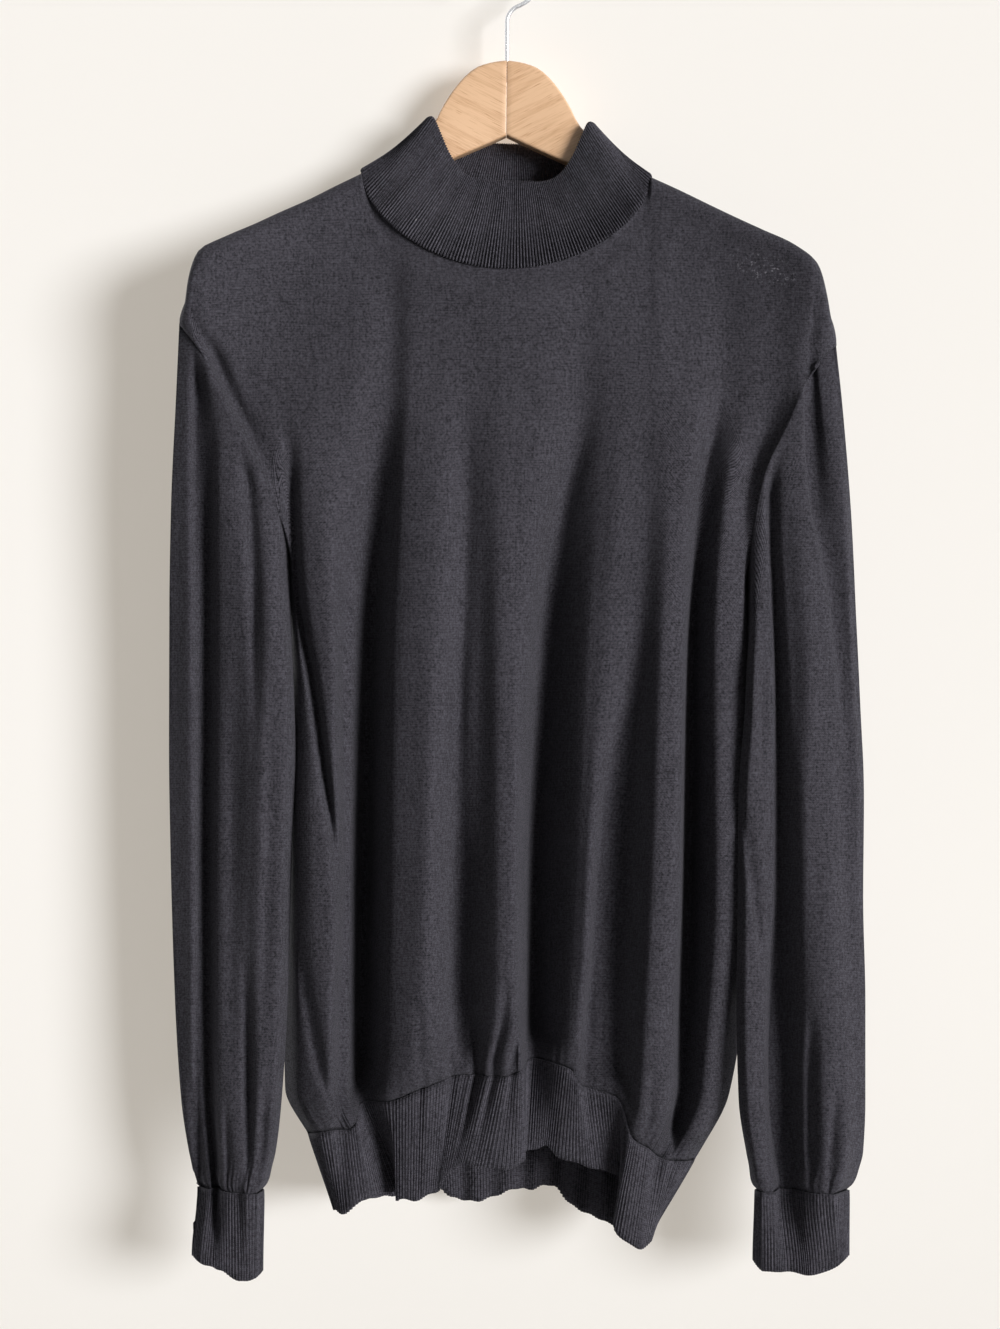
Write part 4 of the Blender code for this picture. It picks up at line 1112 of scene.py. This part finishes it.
collar = {
    "tips": ((-53.0, 40.5), (58.0, 44.5)),
    "frontDip": 42.0,
    "backDip": 11.5,
    "frontOpening": -11.0,
    "frontBow": -4.0,
    "backOpening": 12.0,
    "backBow": 1.0,
    "sag": 2.8,
    "cornerIn": 1.2,
    "proud": 2.2,
    "thickness": 3.0,
    "rib": 1.9,
    "samples": 7,
    "relief": 0.38,
    "teeth": 2.3,  # how much deeper the ribs are at the sewn edge
    "teethFade": 32.0,
    "height": 62.0,
    "cut": (0.44, 0.066, 0.029),  # as it lies, folded double
}


# a point of the collar: rise is 0 where it is sewn on and 1 at its folded upper edge
def collarPoint(around, rise):
    around, rise = np.broadcast_arrays(np.asarray(around, float), np.asarray(rise, float))
    back = around > neckColumns
    column = body["neckFirst"] + np.where(back, 2 * neckColumns - around, around)
    x, y, drop = neckEdge(column, back)
    turn = (column - body["neckFirst"]) / neckColumns
    across = (1 - np.cos(np.pi * turn)) / 2
    roundSide = np.sin(np.pi * turn).clip(0.0)
    topX = mix(collar["tips"][0][0], collar["tips"][1][0], across)
    topDrop = mix(collar["tips"][0][1], collar["tips"][1][1], across)
    backDrop = topDrop + collar["backDip"] * ease((roundSide - 0.2) / 0.8)
    frontDrop = topDrop + collar["frontDip"] * ease((roundSide - 0.3) / 0.65)
    gape = ease(roundSide / 0.4)
    backY = collar["backOpening"] * gape + collar["backBow"] * roundSide
    frontY = collar["frontOpening"] * gape + collar["frontBow"] * roundSide
    topY = armY(topX) + np.where(back, backY, frontY)
    topDrop = np.where(back, backDrop, frontDrop)
    sag = collar["sag"] * np.sin(np.pi * rise) * (1 - roundSide)
    corner = (1 - roundSide) ** 4 * (1 - rise) ** 3
    x = x + collar["cornerIn"] * corner * np.where(across < 0.5, 1.0, -1.0)
    sag = sag - 0.8 * collar["cornerIn"] * corner
    return point(mix(x, topX, rise), mix(y, topY, rise), mix(drop, topDrop, rise) + sag)


def makeCollar(name):
    def line(around):
        return collarPoint(around, 0.3)

    arounds, along = evenSteps(line, 0.0, 2.0 * neckColumns, collar["rib"] / collar["samples"])
    ribs = round(along[-1] / collar["rib"])
    pitch = along[-1] / ribs
    arounds = arounds[:-1]
    rises = np.linspace(0.0, 0.975, 14)
    wall = collarPoint(arounds[None, :], rises[:, None])
    facing = outward(wall, True)
    upward = np.gradient(wall, axis=0)
    upward /= np.linalg.norm(upward, axis=-1, keepdims=True)
    half = collar["thickness"] / 2
    centre = collar["proud"] - half
    rolled = 4  # rows round the sewn edge
    rows = []
    for step in range(rolled):
        angle = math.radians(-80 + 26 * step)
        out, up = centre + half * math.cos(angle), half * math.sin(angle) + 0.4
        rows.append(wall[0] + facing[0] * out + upward[0] * up)
    for r in range(1, len(rises)):
        rows.append(wall[r] + facing[r] * collar["proud"])
    for step in range(1, 8):  # the folded upper edge
        angle = math.radians(180 * step / 8)
        out, up = centre + half * math.cos(angle), half * math.sin(angle)
        rows.append(wall[-1] + facing[-1] * out + upward[-1] * up)
    for r in range(len(rises) - 1, 0, -2):
        rows.append(wall[r] + facing[r] * (collar["proud"] - collar["thickness"]))
    points = np.stack(rows)
    skin = outward(points, True)
    # how far above the sewn edge each row lies
    rise = np.full(len(rows), collar["height"])
    rise[:rolled] = 0.0
    rise[rolled : rolled + len(rises) - 1] = rises[1:] * collar["height"]
    fade = mix(collar["teeth"], 1.0, ease(rise / collar["teethFade"]))
    points = corrugate(points, along, pitch, collar["relief"] * 2, skin, fade)
    return clothMesh(name, points, *ribMap(points, along), closed=True, ring=True)


collarPiece = makeCollar("collarRib")
finishPiece(collarPiece, "collar", ribKnit)
print("collar done")

# the hanger's wire hook
hook = {
    "radius": 1.5,
    "depth": 14.0,
    "shank": 27.0,
    "turnRadius": 12.0,
    "loopRadius": 22.0,
    "loopEnd": 198.0,  # degrees, counted from the right, over the top
    "steps": 40,
    "end": 1.1,
    "steel": (0.62, 0.62, 0.63),
}


def startEditing():
    bpy.ops.object.mode_set(mode="EDIT")


def stopEditing():
    bpy.ops.mesh.select_all(action="SELECT")
    bpy.ops.mesh.normals_make_consistent(inside=False)
    bpy.ops.object.mode_set(mode="OBJECT")


# selects the edges that a test picks by their two ends, in mm
def pickEdges(piece, test):
    bpy.ops.mesh.select_all(action="DESELECT")
    bpy.ops.mesh.select_mode(type="EDGE")
    mesh = bmesh.from_edit_mesh(piece.data)
    for edge in mesh.edges:
        first, second = (piece.matrix_world @ corner.co * 1000 for corner in edge.verts)
        if test(first, second):
            edge.select_set(True)
    mesh.select_flush_mode()
    bmesh.update_edit_mesh(piece.data)


# middle and size of an arm's section, in mm
def armSection(out, side):
    rows = hanger["outline"]
    places = [row[0] for row in rows]
    upper = float(through(places, [row[1] for row in rows], out))
    lower = float(through(places, [row[2] for row in rows], out))
    past = max(out - (hanger["reach"] - 7.0), 0.0) / 7.0
    thickness = hanger["thickness"] * math.sqrt(1 - 0.75 * past * past)
    middle = Vector((side * out, float(armY(out)), woodTop - (upper + lower) / 2))
    return middle, thickness, lower - upper


def makeArm(name, side):
    bpy.ops.object.select_all(action="DESELECT")
    bpy.ops.mesh.primitive_plane_add(
        size=0.001, location=(0, 0, woodTop * 0.001), rotation=(0, math.radians(90), 0)
    )
    arm = bpy.context.object
    arm.name = arm.data.name = name
    bpy.ops.object.transform_apply(location=False, rotation=True, scale=False)
    startEditing()
    steps = np.concatenate([
        [hanger["mitreGap"] / 2, 4, 8, 12, 16, 20, 24.5, 29],
        np.arange(33.0, 66.0, 3.6), np.arange(68.0, 190.0, 7.0), [192, 195.5, 198.5, 201, 203],
    ])
    middle, thickness, height = armSection(steps[0], side)
    start = Vector((0, 0, woodTop))
    bpy.ops.transform.translate(value=(middle - start) * 0.001)
    bpy.ops.transform.resize(value=(1, thickness, height), center_override=middle * 0.001)
    for out in steps[1:]:
        following, wide, tall = armSection(float(out), side)
        bpy.ops.mesh.extrude_region_move(TRANSFORM_OT_translate={"value": (following - middle) * 0.001})
        bpy.ops.transform.resize(
            value=(1, wide / thickness, tall / height), center_override=following * 0.001
        )
        middle, thickness, height = following, wide, tall
    # the long edges and the tip are rounded well, the mitre is only broken

    def longOrTip(first, second):
        atTip = min(abs(first.x), abs(second.x)) > hanger["reach"] - 0.1
        return abs(first.x - second.x) > 0.5 or atTip

    def atMitre(first, second):
        return max(abs(first.x), abs(second.x)) < 0.2

    pickEdges(arm, longOrTip)
    bpy.ops.mesh.bevel(offset=hanger["edge"] * 0.001, segments=4, affect="EDGES", clamp_overlap=True)
    pickEdges(arm, atMitre)
    bpy.ops.mesh.bevel(offset=hanger["mitreEdge"] * 0.001, segments=2, affect="EDGES", clamp_overlap=True)
    stopEditing()
    arm.rotation_euler = (0, math.radians(hanger["tilt"]), 0)
    bpy.ops.object.transform_apply(location=True, rotation=True, scale=True)
    # the hole for the hook
    depth = hanger["boreDepth"] * 0.001
    bpy.ops.mesh.primitive_cylinder_add(
        vertices=24, radius=hanger["boreRadius"] * 0.001, depth=2 * depth, location=(0, 0, woodTop * 0.001)
    )
    cutter = bpy.context.object
    selectOnly(arm)
    bore = arm.modifiers.new("bore", "BOOLEAN")
    bore.operation = "DIFFERENCE"
    bore.object = cutter
    bpy.ops.object.modifier_apply(modifier="bore")
    bpy.data.objects.remove(cutter)
    startEditing()
    bpy.ops.mesh.select_all(action="SELECT")
    bpy.ops.mesh.remove_doubles(threshold=0.00003)
    bpy.ops.mesh.fill_holes(sides=6)
    stopEditing()
    bpy.ops.object.shade_smooth_by_angle(angle=math.radians(32))
    return arm


def makeHook(name):
    bpy.ops.object.select_all(action="DESELECT")
    bottom, bend = woodTop - hook["depth"], woodTop + hook["shank"]
    bpy.ops.mesh.primitive_circle_add(
        vertices=20, radius=hook["radius"] * 0.001, fill_type="NGON", location=(0, 0, bottom * 0.001)
    )
    wire = bpy.context.object
    wire.name = wire.data.name = name
    startEditing()
    bpy.ops.mesh.extrude_region_move(TRANSFORM_OT_translate={"value": (0, 0, (bend - bottom) * 0.001)})
    radius, turn = hook["loopRadius"], hook["turnRadius"]
    rise = math.sqrt(radius * radius + 2 * radius * turn)
    lean = math.atan2(rise, turn)  # how far the wire leans over before it turns back
    bpy.ops.mesh.spin(steps=14, angle=-lean, center=(turn * 0.001, 0, bend * 0.001), axis=(0, 1, 0))
    sweep = math.radians(hook["loopEnd"]) + lean
    bpy.ops.mesh.spin(
        steps=hook["steps"], angle=sweep, center=(0, 0, (bend + rise) * 0.001), axis=(0, 1, 0)
    )
    bpy.ops.mesh.bevel(offset=hook["end"] * 0.001, segments=3, affect="EDGES", clamp_overlap=True)
    stopEditing()
    bpy.ops.object.transform_apply(location=True, rotation=True, scale=True)
    bpy.ops.object.shade_smooth_by_angle(angle=math.radians(50))
    return wire


# grain along the wood: fine fibres over broad bands, with short darker pores
def grainGroup():
    sheet, given, result = newGroup(
        "woodGrain",
        [("Place", "NodeSocketVector"), ("Dark", "NodeSocketColor"), ("Light", "NodeSocketColor")],
        [("Color", "NodeSocketColor"), ("Relief", "NodeSocketFloat"), ("Roughness", "NodeSocketFloat")],
    )

    def stretched(scale):
        inputs = {"Vector": given.outputs["Place"], "Scale": scale}
        return sheet.add("ShaderNodeMapping", inputs).outputs[0]

    bands = sheet.noise(stretched((5.0, 45.0, 70.0)), 1.0, 3.0, 0.55)
    rings = sheet.sum("SINE", sheet.sum("MULTIPLY", bands, 34.0))
    fibres = sheet.noise(stretched((36.0, 700.0, 1150.0)), 1.0, 3.0, 0.6)
    pores = sheet.remap(sheet.noise(stretched((70.0, 900.0, 1500.0)), 1.0, 1.0, 0.5), 0.62, 0.74)
    share = sheet.sum("MULTIPLY_ADD", rings, 0.07, sheet.sum("MULTIPLY", fibres, 0.75))
    share = sheet.sum("MULTIPLY_ADD", bands, 0.5, share)
    share = sheet.sum("MULTIPLY_ADD", pores, -0.35, share)
    share = sheet.remap(share, 0.25, 0.72)
    sheet.fill(result, {
        "Color": sheet.blend(share, given.outputs["Dark"], given.outputs["Light"]),
        "Relief": sheet.sum("SUBTRACT", fibres, pores),
        "Roughness": sheet.remap(fibres, 0.2, 0.8, 0.5, 0.34),
    })
    return sheet.tree


grainTree = grainGroup()


def woodMaterial(name, turn):
    material, sheet, shader = newMaterial(name)
    mapping = sheet.add("ShaderNodeMapping", {
        "Vector": sheet.add("ShaderNodeTexCoord").outputs["Object"],
        "Rotation": (0.0, math.radians(turn), 0.0),
    })
    grain = sheet.add("ShaderNodeGroup", node_tree=grainTree)
    sheet.fill(grain, {
        "Place": mapping.outputs[0],
        "Dark": (*hanger["woodDark"], 1.0),
        "Light": (*hanger["woodLight"], 1.0),
    })
    sheet.bump(shader, grain.outputs["Relief"], 0.00008)
    sheet.fill(shader, {
        "Base Color": grain.outputs["Color"],
        "Roughness": grain.outputs["Roughness"],
        "Coat Weight": 0.35,
        "Coat Roughness": 0.22,
    })
    return material


def steelMaterial(name):
    material, sheet, shader = newMaterial(name)
    drawn = sheet.noise(sheet.add("ShaderNodeTexCoord").outputs["Object"], 900.0, 4.0, 0.6)
    sheet.bump(shader, drawn, 0.00003)
    sheet.fill(shader, {
        "Base Color": (*hook["steel"], 1.0),
        "Metallic": 1.0,
        "Roughness": sheet.remap(drawn, 0.3, 0.7, 0.2, 0.36),
    })
    return material


armLeft = makeArm("hangerArmLeft", -1)
armRight = makeArm("hangerArmRight", 1)
finishPiece(armLeft, "hanger_arm_left", woodMaterial("beechLeft", -hanger["grainTurn"]))
finishPiece(armRight, "hanger_arm_right", woodMaterial("beechRight", hanger["grainTurn"]))
wireHook = makeHook("wireHook")
finishPiece(wireHook, "hanger_hook", steelMaterial("drawnSteel"))
print("hanger done")


# wall and floor
def stagePlane(name, corners, material):
    mesh = bpy.data.meshes.new(name)
    mesh.from_pydata(corners, [], [[0, 1, 2, 3]])
    mesh.materials.append(material)
    plane = bpy.data.objects.new(name, mesh)
    bpy.context.scene.collection.objects.link(plane)
    return plane


studio = {
    "wallBehind": 0.006,
    "floorColour": (0.42, 0.415, 0.405),
    "wallColour": (0.9, 0.9, 0.9),
    # turn, height, strength, softness
    "window": (46.0, 3.0, 4.3, 24.0),
    "backLeft": (-138.0, 15.0, 2.2, 40.0),
    "backRight": (140.0, 15.0, 1.8, 40.0),
    "fill": 0.06,
    "glowColour": (0.93, 0.85, 0.74),
    "wallGlow": 0.46,  # share of the wall's colour that no shadow takes away
    "fillColour": (1.0, 0.985, 0.96),
    "wallReach": 1.6,
    "wallTop": 1.2,
    "floorReach": 3.0,
    "floorBelow": 0.34,
    # the camera stands level, two metres in front
    "lens": 78.86,
    "cameraX": -0.0048,
    "cameraY": -2.0,
    "cameraBelow": 0.414,  # below the wood's top
}


# 1 for a ray that shows the studio behind the sweater, straight or in something glossy
def seenBy(sheet, path):
    seen = sheet.sum("MAXIMUM", path.outputs["Is Camera Ray"], path.outputs["Is Glossy Ray"])
    return sheet.sum("MAXIMUM", seen, path.outputs["Is Transmission Ray"])


def paintMaterial(name, colour, isWall):
    material, sheet, shader = newMaterial(name)
    sheet.fill(shader, {"Base Color": (*colour, 1.0), "Roughness": 0.95, "Specular IOR Level": 0.1})
    path = sheet.add("ShaderNodeLightPath")
    if isWall:
        glow = sheet.add("ShaderNodeEmission", {"Color": (*studio["glowColour"], 1.0)})
        share = sheet.sum("MULTIPLY", path.outputs["Is Camera Ray"], studio["wallGlow"])
        soft = sheet.add("ShaderNodeMixShader", {0: share, 1: shader.outputs[0], 2: glow.outputs[0]})
        # seen from behind, the wall isn't there, and it holds back no light
        behind = sheet.add("ShaderNodeNewGeometry").outputs["Backfacing"]
        gone = sheet.sum("MAXIMUM", behind, path.outputs["Is Shadow Ray"])
        clear = sheet.add("ShaderNodeBsdfTransparent")
        choose = sheet.add("ShaderNodeMixShader", {0: gone, 1: soft.outputs[0], 2: clear.outputs[0]})
        sheet.fill(material.node_tree.nodes["Material Output"], {0: choose.outputs[0]})
    else:
        # the floor looks pale but throws little light back up
        pale = (*studio["wallColour"], 1.0)
        shown = sheet.blend(seenBy(sheet, path), (*colour, 1.0), pale)
        sheet.fill(shader, {"Base Color": shown})
    return material


low, high = cadBox
wallY = high[1] + studio["wallBehind"]
floorZ = low[2] - studio["floorBelow"]
wide, top, far = studio["wallReach"], studio["wallTop"], studio["floorReach"]
stagePlane(
    "studioWall",
    [(-wide, wallY, floorZ), (wide, wallY, floorZ), (wide, wallY, top), (-wide, wallY, top)],
    paintMaterial("wallPaint", studio["wallColour"], True),
)
stagePlane(
    "studioFloor",
    [(-far, -far, floorZ), (far, -far, floorZ), (far, far, floorZ), (-far, far, floorZ)],
    paintMaterial("floorPaint", studio["floorColour"], False),
)


# turn is counted from the viewer's side towards the right, height above level, both in degrees
def sunLight(name, turn, height, strength, softness):
    light = bpy.data.lights.new(name, "SUN")
    light.energy = strength
    light.angle = math.radians(softness)
    lamp = bpy.data.objects.new(name, light)
    turn, height = math.radians(turn), math.radians(height)
    across = math.cos(height)
    source = Vector((math.sin(turn) * across, -math.cos(turn) * across, math.sin(height)))
    lamp.rotation_euler = source.to_track_quat("Z", "Y").to_euler()
    lamp.location = source * 2
    bpy.context.scene.collection.objects.link(lamp)


sunLight("windowLight", *studio["window"])
sunLight("backLightLeft", *studio["backLeft"])
sunLight("backLightRight", *studio["backRight"])

world = bpy.data.worlds.new("studioWorld")
bpy.context.scene.world = world
world.use_nodes = True
sheet = NodeSheet(world.node_tree)
fill = (*[studio["fill"] * part for part in studio["fillColour"]], 1.0)
pale = (*studio["wallColour"], 1.0)
seen = seenBy(sheet, sheet.add("ShaderNodeLightPath"))
sheet.fill(world.node_tree.nodes["Background"], {"Color": sheet.blend(seen, fill, pale), "Strength": 1.0})

view = bpy.data.cameras.new("frontCamera")
view.lens = studio["lens"]
view.sensor_width = 36.0
camera = bpy.data.objects.new("frontCamera", view)
camera.location = (studio["cameraX"], studio["cameraY"], woodTop * 0.001 - studio["cameraBelow"])
camera.rotation_euler = (math.radians(90), 0.0, 0.0)
bpy.context.scene.collection.objects.link(camera)
bpy.context.scene.camera = camera
bpy.context.scene.view_settings.view_transform = "Standard"
print("studio ready")
